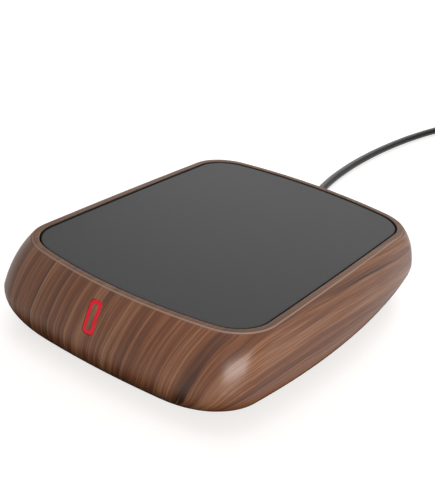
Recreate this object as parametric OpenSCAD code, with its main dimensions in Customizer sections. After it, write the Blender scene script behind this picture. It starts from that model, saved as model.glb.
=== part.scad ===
// Electric mug warmer: a wood-finish housing around a floating heating plate, with its mains cord.
// Origin: centre of the footprint, on the surface that the feet stand on. +Z is up, -Y is the front.

/* [Housing] */
// Width of the housing at its widest level
body_w = 120; // [90:1:150]
// Depth of the housing at its widest level
body_d = 160; // [120:1:200]
// Height of the rim above the surface
body_h = 33; // [30:0.5:42]
// Height of the widest level
widest_z = 15; // [12:0.5:18]
// Corner radius at the widest level
corner_r = 18; // [16:1:24]
// How far the long sides bow out at the widest level
side_bow = 8.3; // [4:0.1:10]
// How far the front and rear bow out at the widest level
end_bow = 5.6; // [4:0.1:10]
// How far the rim's outer edge lies inside the widest level
top_inset = 8.2; // [6:0.1:11]
// Corner radius of the rim's outer edge
rim_corner_r = 18.5; // [15:0.5:24]
// How far the rim's long sides bow out
rim_side_bow = 0.7; // [0.4:0.1:2]
// How far the rim's front and rear bow out
rim_end_bow = 7.7; // [4:0.1:8]
// How full the sloping face is, from 0 for a straight slope
face_bulge = 0.45; // [0.2:0.05:0.9]
// How far the long sides would tuck in at the surface
side_tuck = 16.5; // [10:0.5:18]
// How far the front and rear would tuck in at the surface
end_tuck = 11.5; // [8:0.5:14]
// Corner radius that the underside would reach at the surface
low_corner_r = 34; // [18:1:40]
// Wall thickness, measured level
wall = 2.4; // [1.8:0.1:3]
// Height of the housing's lower edge above the surface
ground_gap = 1.6; // [1:0.1:2.4]
// Width of the rim's flat top
rim_w = 2.6; // [2:0.1:4]
// Rounding of the rim's outer edge
rim_round = 0.5; // [0.3:0.1:0.8]
// Depth of the wall that hangs down around the heating plate
lip_depth = 6.4; // [5.5:0.1:7]
// Thickness of that wall
lip_t = 1.6; // [1.2:0.1:2]

/* [Floating heating plate] */
// Gap all round between the plate and the rim
plate_gap = 0.7; // [0.7:0.1:1.2]
// How far the plate's top lies below the rim when nothing stands on it
plate_drop = 0.4; // [0.4:0.1:1.2]
// Thickness of the plate's top
plate_t = 2; // [1.5:0.1:2.5]
// Height of the plate with its skirt
plate_h = 4.7; // [4:0.1:5]
// Thickness of the skirt
skirt_t = 1.6; // [1.2:0.1:2]
// Travel of the plate when a mug is set down
plate_travel = 1.2; // [0.8:0.1:1.4]
// Gap between the carrier's flange and its stop
stop_gap = 0.2; // [0.1:0.05:0.3]
// Thickness of the carrier's flange
flange_t = 2; // [1.6:0.1:2.4]
// Width of the carrier's ring
ring_w = 9.4; // [8:0.1:11]
// How far the guide pins lie inside the rim's long sides
guide_in_x = 14.8; // [11:0.1:16]
// How far the guide pins lie inside the rim's front and rear
guide_in_y = 16.8; // [13:0.1:18]
// Radius of a guide pin
pin_r = 2.5; // [2:0.1:3]
// Running clearance of a guide pin in its bore, at the radius
pin_clear = 0.06; // [0.03:0.01:0.1]
// Length of a guide pin below the flange
pin_len = 13; // [11:0.5:14]
// Radius of the coil of a return spring, at the middle of its wire
spring_r = 5.4; // [5.2:0.1:6]
// Radius of the spring wire
spring_wire_r = 0.4; // [0.3:0.05:0.5]
// Turns of a return spring
spring_turns = 6; // [4:1:7]

/* [Heater] */
// How far the heating element's edge lies inside the rim's long sides
heater_in = 13.8; // [13.8:0.1:17]
// Thickness of the heating element
heater_t = 1; // [0.6:0.1:1.4]
// Thickness of the insulation pad
pad_t = 3; // [2.5:0.1:3.4]
// How far the clamp plate stands out past the heating element
clamp_over = 1; // [0.5:0.1:1.5]
// Thickness of the clamp plate
clamp_t = 1; // [0.8:0.1:1.2]
// Distance of the clamp screws from the clamp plate's edges
clamp_screw_in = 5; // [4:0.5:6]
// Radius of the sensor hole in the middle
sensor_hole_r = 4; // [3.5:0.1:5]

/* [Key with its light] */
// Width of the key
key_w = 4.7; // [4:0.1:6]
// Length of the key up the slope
key_l = 12; // [10:0.5:12.5]
// Corner radius of the key
key_corner_r = 1.4; // [0.8:0.1:1.8]
// Clearance around the key
key_clear = 0.2; // [0.15:0.05:0.3]
// Width of the lit outline
light_w = 1.3; // [0.9:0.1:1.5]
// Place of the key across the front
key_x = -4; // [-10:1:10]
// Height of the key's centre
key_z = 23.4; // [22:0.2:24]
// Travel of the key
key_travel = 0.5; // [0.3:0.1:0.6]

/* [Base cover] */
// Thickness of the base cover
cover_t = 2.2; // [2:0.1:2.8]
// Gap between the cover and the housing
cover_gap = 0.25; // [0.15:0.05:0.4]
// How far the cover lies inside the housing's lower edge
cover_recess = 0.4; // [0.2:0.1:0.6]
// How far the case screws lie inside the housing's long sides
case_screw_in = 17; // [16:0.5:19]
// Place of the case screws front to back
case_screw_y = 32; // [26:1:40]
// Radius of a rubber foot
foot_r = 6.5; // [5:0.5:7]
// How far the feet lie inside the housing's long sides
foot_in_x = 26; // [23:0.5:32]
// How far the feet lie inside the housing's front and rear
foot_in_y = 27; // [23:0.5:40]

/* [Boards] */
// Width of the main board
board_w = 64; // [60:1:66]
// Depth of the main board
board_d = 74; // [72:1:78]
// Thickness of the main board
board_t = 1.6; // [1.2:0.1:2]
// Height of the board's standoffs above the cover
standoff_h = 4.8; // [4:0.1:5]
// Place of the main board's centre front to back
board_y = 3; // [0:1:4]

/* [Cord] */
// Diameter of the cord
cord_d = 4.2; // [4:0.1:4.4]
// Height at which the cord enters the housing
gland_z = 11; // [10:0.5:12]
// Length of the strain relief outside the housing
boot_len = 22; // [20:1:22]
// Radius of the strain relief at the housing
boot_r = 4.4; // [4:0.1:4.8]

/* [Hidden] */
$fn = 48;
eps = 0.01;

// Steps along each arc of a quarter of an outline
side_steps = 3;
corner_steps = 9;
end_steps = 4;

// Levels worked out from the sizes above
lip_z = body_h - lip_depth;
plate_top = body_h - plate_drop;
plate_under = plate_top - plate_t;
skirt_z = plate_top - plate_h;
flange_top = lip_z - stop_gap;
flange_z = flange_top - flange_t;
heater_z = plate_under - heater_t;
pad_z = heater_z - pad_t;
clamp_z = pad_z - clamp_t;
cover_z = ground_gap + cover_recess;
cover_top = cover_z + cover_t;
board_z = cover_top + standoff_h;
board_top = board_z + board_t;
cord_r = cord_d / 2;

// Places that follow the housing's size
rim_x = body_w / 2 - top_inset;
rim_y = body_d / 2 - top_inset;
guide_x = rim_x - guide_in_x;
guide_y = rim_y - guide_in_y;
heater_r = rim_x - heater_in;
clamp_w = 2 * (heater_r + clamp_over);
clamp_screw_at = clamp_w / 2 - clamp_screw_in;
case_screw_x = body_w / 2 - case_screw_in;
foot_x = body_w / 2 - foot_in_x;
foot_y = body_d / 2 - foot_in_y;

// Insets from the rim's outer edge
opening_in = rim_w;
plate_in = opening_in + plate_gap;
skirt_in = plate_in + skirt_t;
upstand_in = skirt_in + 0.2;
upstand_t = 1.6;
flange_in = 0.5;

// ---- outlines ------------------------------------------------------------------------------

function shape(a, b, sr, er, r) = [a, b, sr, er, r];

// A quarter of a rounded outline: a side arc, a corner arc and an end arc, each tangent to the next
function quarter(s) =
    let (
        a = s[0], b = s[1], sr = s[2], er = s[3], r = s[4],
        from = [a - sr, 0],
        to = [0, b - er],
        gap = to - from,
        span = norm(gap),
        d1 = sr - r,
        d2 = er - r,
        along = (d1 * d1 - d2 * d2 + span * span) / (2 * span),
        up = sqrt(d1 * d1 - along * along),
        c = from + gap * along / span + [-gap.y, gap.x] * up / span,
        t0 = atan2(c.y, c.x - from.x),
        t1 = atan2(c.y - to.y, c.x)
    )
    concat(
        [for (i = [0:side_steps - 1]) from + sr * [cos(t0 * i / side_steps), sin(t0 * i / side_steps)]],
        [for (i = [0:corner_steps])
            let (t = t0 + (t1 - t0) * i / corner_steps) c + r * [cos(t), sin(t)]],
        [for (i = [1:end_steps])
            let (t = t1 + (90 - t1) * i / end_steps) to + er * [cos(t), sin(t)]]
    );

function outline(s) =
    let (q = quarter(s), n = len(q))
    concat(
        q,
        [for (i = [n - 2:-1:0]) [-q[i].x, q[i].y]],
        [for (i = [1:n - 1]) [-q[i].x, -q[i].y]],
        [for (i = [n - 2:-1:1]) [q[i].x, -q[i].y]]
    );

function inset(s, d) = shape(s[0] - d, s[1] - d, s[2] - d, s[3] - d, max(s[4] - d, 1));
function blend(p, q, k) = p + (q - p) * k;
function blend_r(p, q, k) = 1 / blend(1 / p, 1 / q, k);

// Radius of an arc that bows out by the given amount over twice the half length
function bow_r(half, bow) = (half * half + bow * bow) / (2 * bow);
side_arc_r = bow_r(body_d / 2, side_bow);
end_arc_r = bow_r(body_w / 2, end_bow);
rim_side_arc_r = bow_r(rim_y, rim_side_bow);
rim_end_arc_r = bow_r(rim_x, rim_end_bow);
rim = shape(rim_x, rim_y, rim_side_arc_r, rim_end_arc_r, rim_corner_r);

// The sloping face is a quadratic curve from the widest level (t = 0) up to the rim (t = 1)
slope_low = [0, widest_z];
slope_high = [top_inset, body_h];
slope_pull = blend((slope_low + slope_high) / 2, [0, blend(widest_z, body_h, 0.75)], face_bulge);
function slope(t) =
    (1 - t) * (1 - t) * slope_low + 2 * t * (1 - t) * slope_pull + t * t * slope_high;
function slope_t(z) =
    let (
        a = slope_low.y - 2 * slope_pull.y + slope_high.y,
        b = 2 * (slope_pull.y - slope_low.y),
        c = slope_low.y - z
    )
    abs(a) < eps ? -c / b : (-b + sqrt(b * b - 4 * a * c)) / (2 * a);
function slope_dir(t) = 2 * (1 - t) * (slope_pull - slope_low) + 2 * t * (slope_high - slope_pull);
slope_turn = 2 * (slope_low - 2 * slope_pull + slope_high);

// How far the outer skin lies inside the widest level at any height, for a tuck of the given depth
function skin_inset(z, tuck) =
    let (s = (widest_z - z) / widest_z)
    z < widest_z ? tuck * (1 - sqrt(1 - s * s)) : slope(slope_t(z)).x;
function side_inset(z) = skin_inset(z, side_tuck);
function end_inset(z) = skin_inset(z, end_tuck);

// The outline of the outer skin at a height, moved in by d
function skin_shape(z, d = 0) =
    let (
        side = side_inset(z),
        end = end_inset(z),
        k = side / top_inset
    )
    inset(
        shape(
            body_w / 2 - side,
            body_d / 2 - end,
            z < widest_z ? side_arc_r - side : blend_r(side_arc_r, rim_side_arc_r, k),
            z < widest_z ? end_arc_r - end : blend_r(end_arc_r, rim_end_arc_r, k),
            z < widest_z ? blend(corner_r, low_corner_r, side / side_tuck)
                : blend(corner_r, rim_corner_r, k)
        ),
        d
    );

function ring(s, z) = [for (p = outline(s)) [p.x, p.y, z]];

// ---- lofts and sweeps ----------------------------------------------------------------------

// Joins rings of equal length. The ends are capped, or joined to each other when closed is true.
module loft(rings, closed = false) {
    n = len(rings[0]);
    m = len(rings);
    last = closed ? m - 1 : m - 2;
    sides = [
        for (j = [0:last], i = [0:n - 1], half = [0, 1])
            let (
                k = (j + 1) % m,
                p = j * n + i,
                q = j * n + (i + 1) % n,
                r = k * n + (i + 1) % n,
                s = k * n + i
            )
            half == 0 ? [p, r, q] : [p, s, r]
    ];
    caps = closed ? [] : [[for (i = [0:n - 1]) i], [for (i = [n - 1:-1:0]) (m - 1) * n + i]];
    polyhedron(points = [for (r = rings) each r], faces = concat(sides, caps), convexity = 10);
}

function unit(v) = v / norm(v);
function frame_up(dir) = abs(unit(dir).z) > 0.9 ? [1, 0, 0] : [0, 0, 1];

// One ring of a tube around a point, square to a direction
function end_ring(at, dir, r, sides) =
    let (
        along = unit(dir),
        across = unit(cross(along, frame_up(along))),
        up = cross(across, along)
    )
    [for (k = [0:sides - 1]) let (t = 360 * k / sides) at + r * (cos(t) * across + sin(t) * up)];
function tube_ring(path, i, r, sides) = end_ring(path[i], path[i + 1] - path[i - 1], r, sides);

// A tube along a path. Its two ends are cut square to the directions from and to.
module tube(path, r, from, to, sides = 6) {
    line = concat([path[0] - from], path, [path[len(path) - 1] + to]);
    ends = [path[0], path[len(path) - 1]];
    loft([
        end_ring(ends[0], from, r, sides),
        for (i = [2:len(path) - 1]) tube_ring(line, i, r, sides),
        end_ring(ends[1], to, r, sides)
    ]);
}

// A smooth path through hand-chosen points, with a few steps between each two
function smooth(points, steps) =
    let (n = len(points))
    concat(
        [for (i = [0:n - 2], k = [0:steps - 1])
            let (
                a = points[max(i - 1, 0)],
                b = points[i],
                c = points[i + 1],
                d = points[min(i + 2, n - 1)],
                t = k / steps
            )
            0.5 * (2 * b + (c - a) * t + (2 * a - 5 * b + 4 * c - d) * t * t
                + (3 * b - a - 3 * c + d) * t * t * t)],
        [points[n - 1]]
    );

// ---- small shared shapes -------------------------------------------------------------------

module at_corners(x, y) {
    for (sx = [-1, 1], sy = [-1, 1]) translate([sx * x, sy * y, 0]) children();
}

// A flat slab with round corners, centred on its outline, standing on z = 0
module slab(w, d, h, r) {
    linear_extrude(h) {
        square([w - 2 * r, d], center = true);
        square([w, d - 2 * r], center = true);
        for (sx = [-1, 1], sy = [-1, 1])
            translate([sx * (w / 2 - r), sy * (d / 2 - r)]) circle(r);
    }
}

// A screw that points up, its head below z = 0, with a cross recess
module screw_up(head_r, head_h, shank_r, shank_l) {
    difference() {
        translate([0, 0, -head_h]) cylinder(r = head_r, h = head_h);
        for (turn = [0, 90]) rotate([0, 0, turn])
            translate([-head_r * 0.6, -head_r * 0.12, -head_h - 1])
                cube([head_r * 1.2, head_r * 0.24, 1 + head_h * 0.55]);
    }
    translate([0, 0, -eps]) cylinder(r = shank_r, h = shank_l + eps);
}

// ---- housing -------------------------------------------------------------------------------

slope_levels = 9;
tuck_levels = 5;
function slope_zs() = [for (i = [1:slope_levels]) slope(i / slope_levels).y];
function tuck_zs() = [for (i = [0:tuck_levels])
    widest_z - (widest_z - ground_gap) * sin(90 * (1 - i / tuck_levels))];
edge_z = body_h - rim_round;
pocket_z = body_h - 2.6;
outer_zs = concat(tuck_zs(), [for (z = slope_zs()) if (z < edge_z - 0.3) z]);
inner_top = lip_z + 1.2;
inner_zs = [for (i = [len(outer_zs) - 1:-1:0]) if (outer_zs[i] < inner_top) outer_zs[i]];
lip_back = opening_in - lip_t;

// Rings of the whole skin, from the lower edge up the outside, over the rim and down the inside
function shell_rings() = concat(
    [for (z = outer_zs) ring(skin_shape(z), z)],
    [
        ring(skin_shape(edge_z), edge_z),
        ring(inset(rim, rim_round * 0.35), body_h - rim_round * 0.3),
        ring(inset(rim, rim_round), body_h),
        ring(inset(rim, opening_in - 0.2), body_h),
        ring(inset(rim, opening_in), body_h - 0.2),
        ring(inset(rim, opening_in), lip_z),
        ring(inset(rim, lip_back), lip_z),
        ring(inset(rim, lip_back), pocket_z),
        ring(skin_shape(pocket_z - 0.6, wall), pocket_z - 0.6)
    ],
    [for (z = inner_zs) ring(skin_shape(z, wall), z)]
);

// The gland's seat: a wide pad inside the rear wall and a flat round boss outside it
gland_neck_r = 3.6;
gland_pad_r = 5.8;
gland_boss_r = 4.8;
gland_seat_y = body_d / 2 - 6.5;
gland_face_y = body_d / 2 + 0.04;
gland_pad_end = body_d / 2 - end_inset(gland_z - gland_pad_r) - 0.4;
module gland_pad() {
    translate([0, gland_seat_y, gland_z]) rotate([-90, 0, 0]) {
        cylinder(r = gland_pad_r, h = gland_pad_end - gland_seat_y);
        cylinder(r = gland_boss_r, h = gland_face_y - gland_seat_y);
    }
}

// Bosses for the case screws, each with a web to the side wall
boss_r = 3.4;
boss_foot = 1.2;
boss_z = cover_top + boss_foot;
boss_top = 19;
screw_bore_r = 1.3;
web_x = body_w / 2 - side_inset(boss_z + 0.6) - wall * 0.5
    - case_screw_y * case_screw_y / (2 * side_arc_r);
module case_bosses() {
    at_corners(case_screw_x, case_screw_y) translate([0, 0, boss_z])
        cylinder(r = boss_r, h = boss_top - boss_z);
    for (sx = [-1, 1], sy = [-1, 1])
        translate([sx > 0 ? case_screw_x : -web_x, sy * case_screw_y - 1, boss_z + 0.6])
            cube([web_x - case_screw_x, 2, boss_top - boss_z - 1.2]);
}

// Frame of the key: origin on the face, +Z straight out of it, +Y up the slope
key_t = slope_t(key_z);
key_dir = slope_dir(key_t);
key_tilt = atan2(key_dir.x, key_dir.y);
key_face_r = pow(norm(key_dir), 3) / abs(key_dir.x * slope_turn.y - key_dir.y * slope_turn.x);
module key_place() {
    translate([key_x, -(body_d / 2 - end_inset(key_z)), key_z]) rotate([90 - key_tilt, 0, 0])
        children();
}
key_wall = wall * cos(key_tilt);
key_flange_w = key_w + 2.8;
key_flange_l = key_l + 1.4;
key_flange_top = -(key_wall + key_flange_l * key_flange_l / (8 * key_face_r) + 0.35);
key_flange_t = 0.8;
key_stem_end = key_flange_top - key_flange_t - 0.4;
tact_top = key_stem_end - 0.6;
key_board_front = tact_top - 2;
key_board_t = 1;
key_board_w = 26;
key_board_low = -11;
key_board_high = 4.5;
key_boss_x = 9.5;
key_boss_y = -3;
key_boss_r = 2.2;
module key_bosses() {
    for (s = [-1, 1]) translate([s * key_boss_x, key_boss_y, key_board_front])
        cylinder(r = key_boss_r, h = -key_board_front - key_wall * 0.7);
}
module key_boss_bores() {
    for (s = [-1, 1]) translate([s * key_boss_x, key_boss_y, key_board_front - 1])
        cylinder(r = 0.8, h = 4.4);
}

module upper_shell() {
    color("sienna") difference() {
        union() {
            loft(shell_rings(), closed = true);
            gland_pad();
            case_bosses();
            key_place() key_bosses();
        }
        translate([0, gland_seat_y - 1, gland_z]) rotate([-90, 0, 0])
            cylinder(r = gland_neck_r + 0.1, h = 12);
        at_corners(case_screw_x, case_screw_y) translate([0, 0, boss_z - 1])
            cylinder(r = screw_bore_r, h = 10);
        key_place() translate([0, 0, -key_wall - 3])
            slab(key_w + 2 * key_clear, key_l + 2 * key_clear, key_wall + 6, key_corner_r + key_clear);
        key_place() key_boss_bores();
    }
}

// ---- base cover ----------------------------------------------------------------------------

rib_h = 1;
guide_foot_r = 7;
guide_foot_h = 4.8;
spring_seat = cover_top + guide_foot_h;
guide_tube_r = pin_r + 1.8;
guide_tube_top = spring_seat + 9;
head_recess = 1.9;
pad_r = 4.6;
foot_recess = 1;
standoff_x = 28;
standoff_y = 33;
clamp_block_y = body_d / 2 - 20;
clamp_block_d = 8;
clamp_screw_x = 9;
switch_x = guide_x - 16;
switch_y = 17.5 - body_d / 2;
switch_body_w = 12.8;
switch_body_d = 5.8;
switch_body_h = 6.5;
switch_z = 13.5;
switch_hole_pitch = 6.5;
switch_hole_z = switch_z + 2.5;
switch_wall_t = 3;
switch_back = switch_y + switch_body_d / 2;

module cover_outline(d) {
    polygon(outline(skin_shape(ground_gap, wall + cover_gap + d)));
}

module base_cover() {
    color("#26262a") difference() {
        union() {
            translate([0, 0, cover_z]) linear_extrude(cover_t) cover_outline(0);
            translate([0, 0, cover_top - eps]) linear_extrude(rib_h + eps) difference() {
                cover_outline(1.2);
                cover_outline(2.8);
            }
            at_corners(guide_x, guide_y) {
                translate([0, 0, cover_top - eps]) cylinder(r = guide_foot_r, h = guide_foot_h + eps);
                translate([0, 0, cover_top]) cylinder(r = guide_tube_r, h = guide_tube_top - cover_top);
            }
            at_corners(case_screw_x, case_screw_y) translate([0, 0, cover_top - eps])
                cylinder(r = pad_r, h = boss_foot + eps);
            translate([0, board_y, cover_top - eps]) at_corners(standoff_x, standoff_y)
                cylinder(r = 3, h = standoff_h + eps);
            translate([-13, clamp_block_y - clamp_block_d / 2, cover_top - eps])
                cube([26, clamp_block_d, gland_z - 0.4 - cover_top + eps]);
            translate([switch_x - 5.5, switch_back, cover_top - eps])
                cube([11, switch_wall_t, switch_z + switch_body_h - cover_top]);
        }
        at_corners(foot_x, foot_y) translate([0, 0, cover_z - 1])
            cylinder(r = foot_r + 0.2, h = 1 + foot_recess);
        at_corners(guide_x, guide_y) translate([0, 0, cover_top + 2.8])
            cylinder(r = pin_r + pin_clear, h = 20);
        at_corners(case_screw_x, case_screw_y) {
            translate([0, 0, cover_z - 1]) cylinder(r = 3.2, h = 1 + head_recess);
            translate([0, 0, cover_z - 1]) cylinder(r = 1.6, h = 8);
        }
        translate([0, board_y, cover_top + 0.8]) at_corners(standoff_x, standoff_y)
            cylinder(r = 0.9, h = 10);
        translate([0, clamp_block_y - clamp_block_d, gland_z]) rotate([-90, 0, 0])
            cylinder(r = cord_r + 0.05, h = 2 * clamp_block_d);
        for (s = [-1, 1]) translate([s * clamp_screw_x, clamp_block_y, cover_top + 1])
            cylinder(r = 1, h = 10);
        for (s = [-1, 1])
            translate([switch_x + s * switch_hole_pitch / 2, switch_back - 1, switch_hole_z])
                rotate([-90, 0, 0]) cylinder(r = 0.8, h = switch_wall_t + 2);
    }
}

module rubber_feet() {
    color("#1b1b1b") at_corners(foot_x, foot_y) {
        translate([0, 0, 0.6]) cylinder(r = foot_r, h = cover_z + foot_recess - 0.6);
        cylinder(r1 = foot_r - 0.6, r2 = foot_r, h = 0.6);
    }
}

module case_screws() {
    color("silver") at_corners(case_screw_x, case_screw_y)
        translate([0, 0, cover_z + head_recess]) screw_up(2.9, 1.6, 1.25, 9);
}

// ---- floating plate ------------------------------------------------------------------------

plate_round = 0.4;
carrier_screw_x = guide_x - 16;
carrier_screw_y = rim_y - ring_w - 5.4;
post_r = 3.2;
post_bore_r = 1.45;

module plate_posts(x, y, low) {
    at_corners(x, y) translate([0, 0, low]) difference() {
        cylinder(r = post_r, h = plate_under - low + eps);
        translate([0, 0, -1]) cylinder(r = post_bore_r, h = plate_under - low + 1.4);
    }
}

module heating_plate() {
    color("#3c3c3e") {
        loft([
            ring(inset(rim, skirt_in), plate_under),
            ring(inset(rim, skirt_in), skirt_z),
            ring(inset(rim, plate_in), skirt_z),
            ring(inset(rim, plate_in), plate_top - plate_round),
            ring(inset(rim, plate_in + plate_round * 0.3), plate_top - plate_round * 0.3),
            ring(inset(rim, plate_in + plate_round), plate_top)
        ]);
        plate_posts(clamp_screw_at, clamp_screw_at, pad_z);
        plate_posts(carrier_screw_x, carrier_screw_y, flange_top);
    }
}

ear_r = 4;
ear_web = ring_w - ear_r + 0.5;
key_notch_y = 0.2 + upstand_in - rim_y;
pusher_x = switch_x - 2;
pusher_r = 2.2;
plunger_r = 1.1;
plunger_top = switch_z + switch_body_h + plate_travel;
module plate_carrier() {
    color("#4a4038") difference() {
        union() {
            translate([0, 0, flange_z]) linear_extrude(flange_t) difference() {
                polygon(outline(inset(rim, flange_in)));
                polygon(outline(inset(rim, flange_in + ring_w)));
            }
            translate([0, 0, flange_top - eps]) linear_extrude(plate_under - flange_top + eps)
                difference() {
                    polygon(outline(inset(rim, upstand_in)));
                    polygon(outline(inset(rim, upstand_in + upstand_t)));
                }
            at_corners(guide_x, guide_y) {
                translate([0, 0, flange_z]) cylinder(r = guide_foot_r, h = flange_t);
                translate([0, 0, flange_z - pin_len]) cylinder(r = pin_r, h = pin_len + eps);
            }
            at_corners(carrier_screw_x, carrier_screw_y) translate([0, 0, flange_z])
                cylinder(r = ear_r, h = flange_t);
            for (s = [-1, 1], low = [carrier_screw_y, -carrier_screw_y - ear_web])
                translate([s * carrier_screw_x - ear_r, low, flange_z])
                    cube([2 * ear_r, ear_web, flange_t]);
            translate([pusher_x, switch_y, plunger_top])
                cylinder(r = pusher_r, h = flange_z - plunger_top + eps);
        }
        translate([key_x - 14, -body_d / 2, flange_z - 1])
            cube([28, body_d / 2 + key_notch_y, flange_t + 1.5]);
        at_corners(carrier_screw_x, carrier_screw_y) translate([0, 0, flange_z - 1])
            cylinder(r = 1.6, h = flange_t + 2);
    }
}

module carrier_screws() {
    color("silver") at_corners(carrier_screw_x, carrier_screw_y)
        translate([0, 0, flange_z]) screw_up(2.6, 1.6, 1.4, 5.4);
}

module heater_element() {
    color("#b9a27a") translate([0, 0, heater_z]) difference() {
        union() {
            cylinder(r = heater_r, h = heater_t, $fn = 96);
            translate([-8, -heater_r - 6, 0]) cube([16, 10, heater_t]);
        }
        translate([0, 0, -1]) cylinder(r = sensor_hole_r, h = heater_t + 2);
    }
}

module insulation_pad() {
    color("ivory") translate([0, 0, pad_z]) difference() {
        cylinder(r = heater_r, h = pad_t, $fn = 96);
        translate([0, 0, -1]) cylinder(r = sensor_hole_r, h = pad_t + 2);
    }
}

rivet_x = 9.5;
rivet_r = 1.2;
cutoff_at = [clamp_screw_at - 14, clamp_screw_at - 12];
cutoff_r = 2;
strap_t = 0.5;
module clamp_plate() {
    color("lightgray") translate([0, 0, clamp_z]) difference() {
        slab(clamp_w, clamp_w, clamp_t, 5);
        translate([0, 0, -1]) cylinder(r = sensor_hole_r, h = clamp_t + 2);
        for (s = [-1, 1]) translate([s * rivet_x, 0, -1]) cylinder(r = rivet_r + 0.05, h = clamp_t + 2);
        at_corners(clamp_screw_at, clamp_screw_at) translate([0, 0, -1])
            cylinder(r = 1.6, h = clamp_t + 2);
    }
}

module clamp_screws() {
    color("silver") at_corners(clamp_screw_at, clamp_screw_at)
        translate([0, 0, clamp_z]) screw_up(2.6, 1.6, 1.4, 4.6);
}

module temperature_sensor() {
    color("#b08d57") translate([0, 0, clamp_z]) {
        cylinder(r = 3.2, h = 0.8);
        cylinder(r = 2.4, h = plate_under - clamp_z);
    }
}

module sensor_clip() {
    color("gainsboro") translate([0, 0, clamp_z]) difference() {
        union() {
            translate([0, 0, -strap_t]) slab(24, 5, strap_t, 1);
            for (s = [-1, 1]) translate([s * rivet_x, 0, -0.9]) {
                cylinder(r = rivet_r + 0.6, h = 0.5);
                cylinder(r = rivet_r, h = 0.9 + clamp_t);
            }
        }
        for (s = [-1, 1]) translate([s * 1.2, 0, -1]) cylinder(r = 0.65, h = 1);
    }
}

module thermal_cutoff() {
    color("ghostwhite") translate([cutoff_at.x, cutoff_at.y, clamp_z - cutoff_r]) rotate([0, 90, 0]) {
        translate([0, 0, -6]) cylinder(r = cutoff_r, h = 12);
        translate([0, 0, -9]) cylinder(r = 0.5, h = 18);
    }
}

module cutoff_bracket() {
    r = cutoff_r + 0.05;
    color("gainsboro") translate([cutoff_at.x, cutoff_at.y, clamp_z - cutoff_r]) difference() {
        union() {
            rotate([0, 90, 0]) translate([0, 0, -2.5]) cylinder(r = r + strap_t, h = 5);
            translate([-2.5, -r - strap_t, 0]) cube([5, 2 * (r + strap_t), cutoff_r]);
            translate([-2.5, -6.5, cutoff_r - strap_t]) cube([5, 13, strap_t]);
        }
        rotate([0, 90, 0]) translate([0, 0, -3]) cylinder(r = r, h = 6);
        translate([-3, -r, 0]) cube([6, 2 * r, cutoff_r + 1]);
    }
}

// Return springs around the guide tubes, with flat ends
spring_low = spring_seat + spring_wire_r;
spring_high = flange_z - spring_wire_r;
spring_steps = 12;
function spring_lift(u) = min(max((u - 0.12) / 0.76, 0), 1);
function spring_path() = [for (i = [0:spring_turns * spring_steps])
    let (u = i / (spring_turns * spring_steps), t = 360 * spring_turns * u)
    [spring_r * cos(t), spring_r * sin(t), blend(spring_low, spring_high, spring_lift(u))]];
module return_springs() {
    color("silver") at_corners(guide_x, guide_y) tube(spring_path(), spring_wire_r, [0, 1, 0], [0, 1, 0]);
}

heater_plug_y = board_y - 33;
heater_plug_top = board_top + 7;
sensor_plug = [20, 10];
sensor_plug_top = board_top + 6;
module heater_leads() {
    color("firebrick") for (s = [-1, 1]) tube(smooth([
        [s * 5, -heater_r - 4, heater_z],
        [s * 5, -heater_r - 4.6, heater_z - 4],
        [s * 4.4, -heater_r - 2, heater_z - 8],
        [s * 2.6, -heater_r + 4, heater_z - 9.6],
        [s * 2.5, heater_plug_y, heater_plug_top + 1],
        [s * 2.5, heater_plug_y, heater_plug_top]
    ], 3), 0.8, [0, 0, -1], [0, 0, -1]);
}

module sensor_leads() {
    color("darkgray") for (s = [-1, 1]) tube(smooth([
        [s * 1.2, 0, clamp_z],
        [s * 1.2, 0, clamp_z - 1.4],
        [s * 1.2 + 1, 1 - s * 0.6, clamp_z - 3],
        [8 + s, 5 - s, clamp_z - 5],
        [17 + s * 1.2, 9 - s * 0.8, sensor_plug_top + 3],
        [sensor_plug.x + s * 1.2, sensor_plug.y, sensor_plug_top + 1.4],
        [sensor_plug.x + s * 1.2, sensor_plug.y, sensor_plug_top]
    ], 3), 0.5, [0, 0, -1], [0, 0, -1]);
}

// ---- key -----------------------------------------------------------------------------------

// Everything under the face's own curve, near the key
module under_face() {
    translate([0, 0, -key_face_r]) rotate([0, 90, 0]) translate([0, 0, -10])
        cylinder(r = key_face_r, h = 20, $fn = 180);
}

inlay_depth = 1.4;
module key_bar(in, low) {
    intersection() {
        translate([0, 0, low])
            slab(key_w - 2 * in, key_l - 2 * in, 6 - low, max(key_corner_r - in, 0.3));
        under_face();
    }
}

module power_key() {
    color("crimson") key_place() difference() {
        union() {
            key_bar(0, key_flange_top - 0.2);
            translate([0, 0, key_flange_top - key_flange_t])
                slab(key_flange_w, key_flange_l, key_flange_t, key_corner_r);
            translate([0, 0, key_stem_end]) cylinder(r = 1.3, h = 1);
        }
        translate([0, 0, -inlay_depth])
            slab(key_w - 2 * light_w, key_l - 2 * light_w, 6, max(key_corner_r - light_w, 0.3) + 0.03);
    }
}

module key_inlay() {
    color("sienna") key_place() key_bar(light_w + 0.03, -inlay_depth);
}

module key_board() {
    color("darkgreen") key_place() difference() {
        translate([-key_board_w / 2, key_board_low, key_board_front - key_board_t])
            cube([key_board_w, key_board_high - key_board_low, key_board_t]);
        for (s = [-1, 1]) translate([s * key_boss_x, key_boss_y, key_board_front - 2])
            cylinder(r = 0.95, h = 3);
    }
}

module key_board_screws() {
    color("silver") key_place() for (s = [-1, 1])
        translate([s * key_boss_x, key_boss_y, key_board_front - key_board_t])
            screw_up(1.7, 1.1, 0.75, 3.6);
}

module tact_switch() {
    color("#2b2b2b") key_place() difference() {
        translate([-2.25, -2.25, key_board_front]) cube([4.5, 4.5, tact_top - key_board_front]);
        translate([0, 0, key_board_front + 0.5]) cylinder(r = 1.05, h = 4);
    }
}

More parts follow.
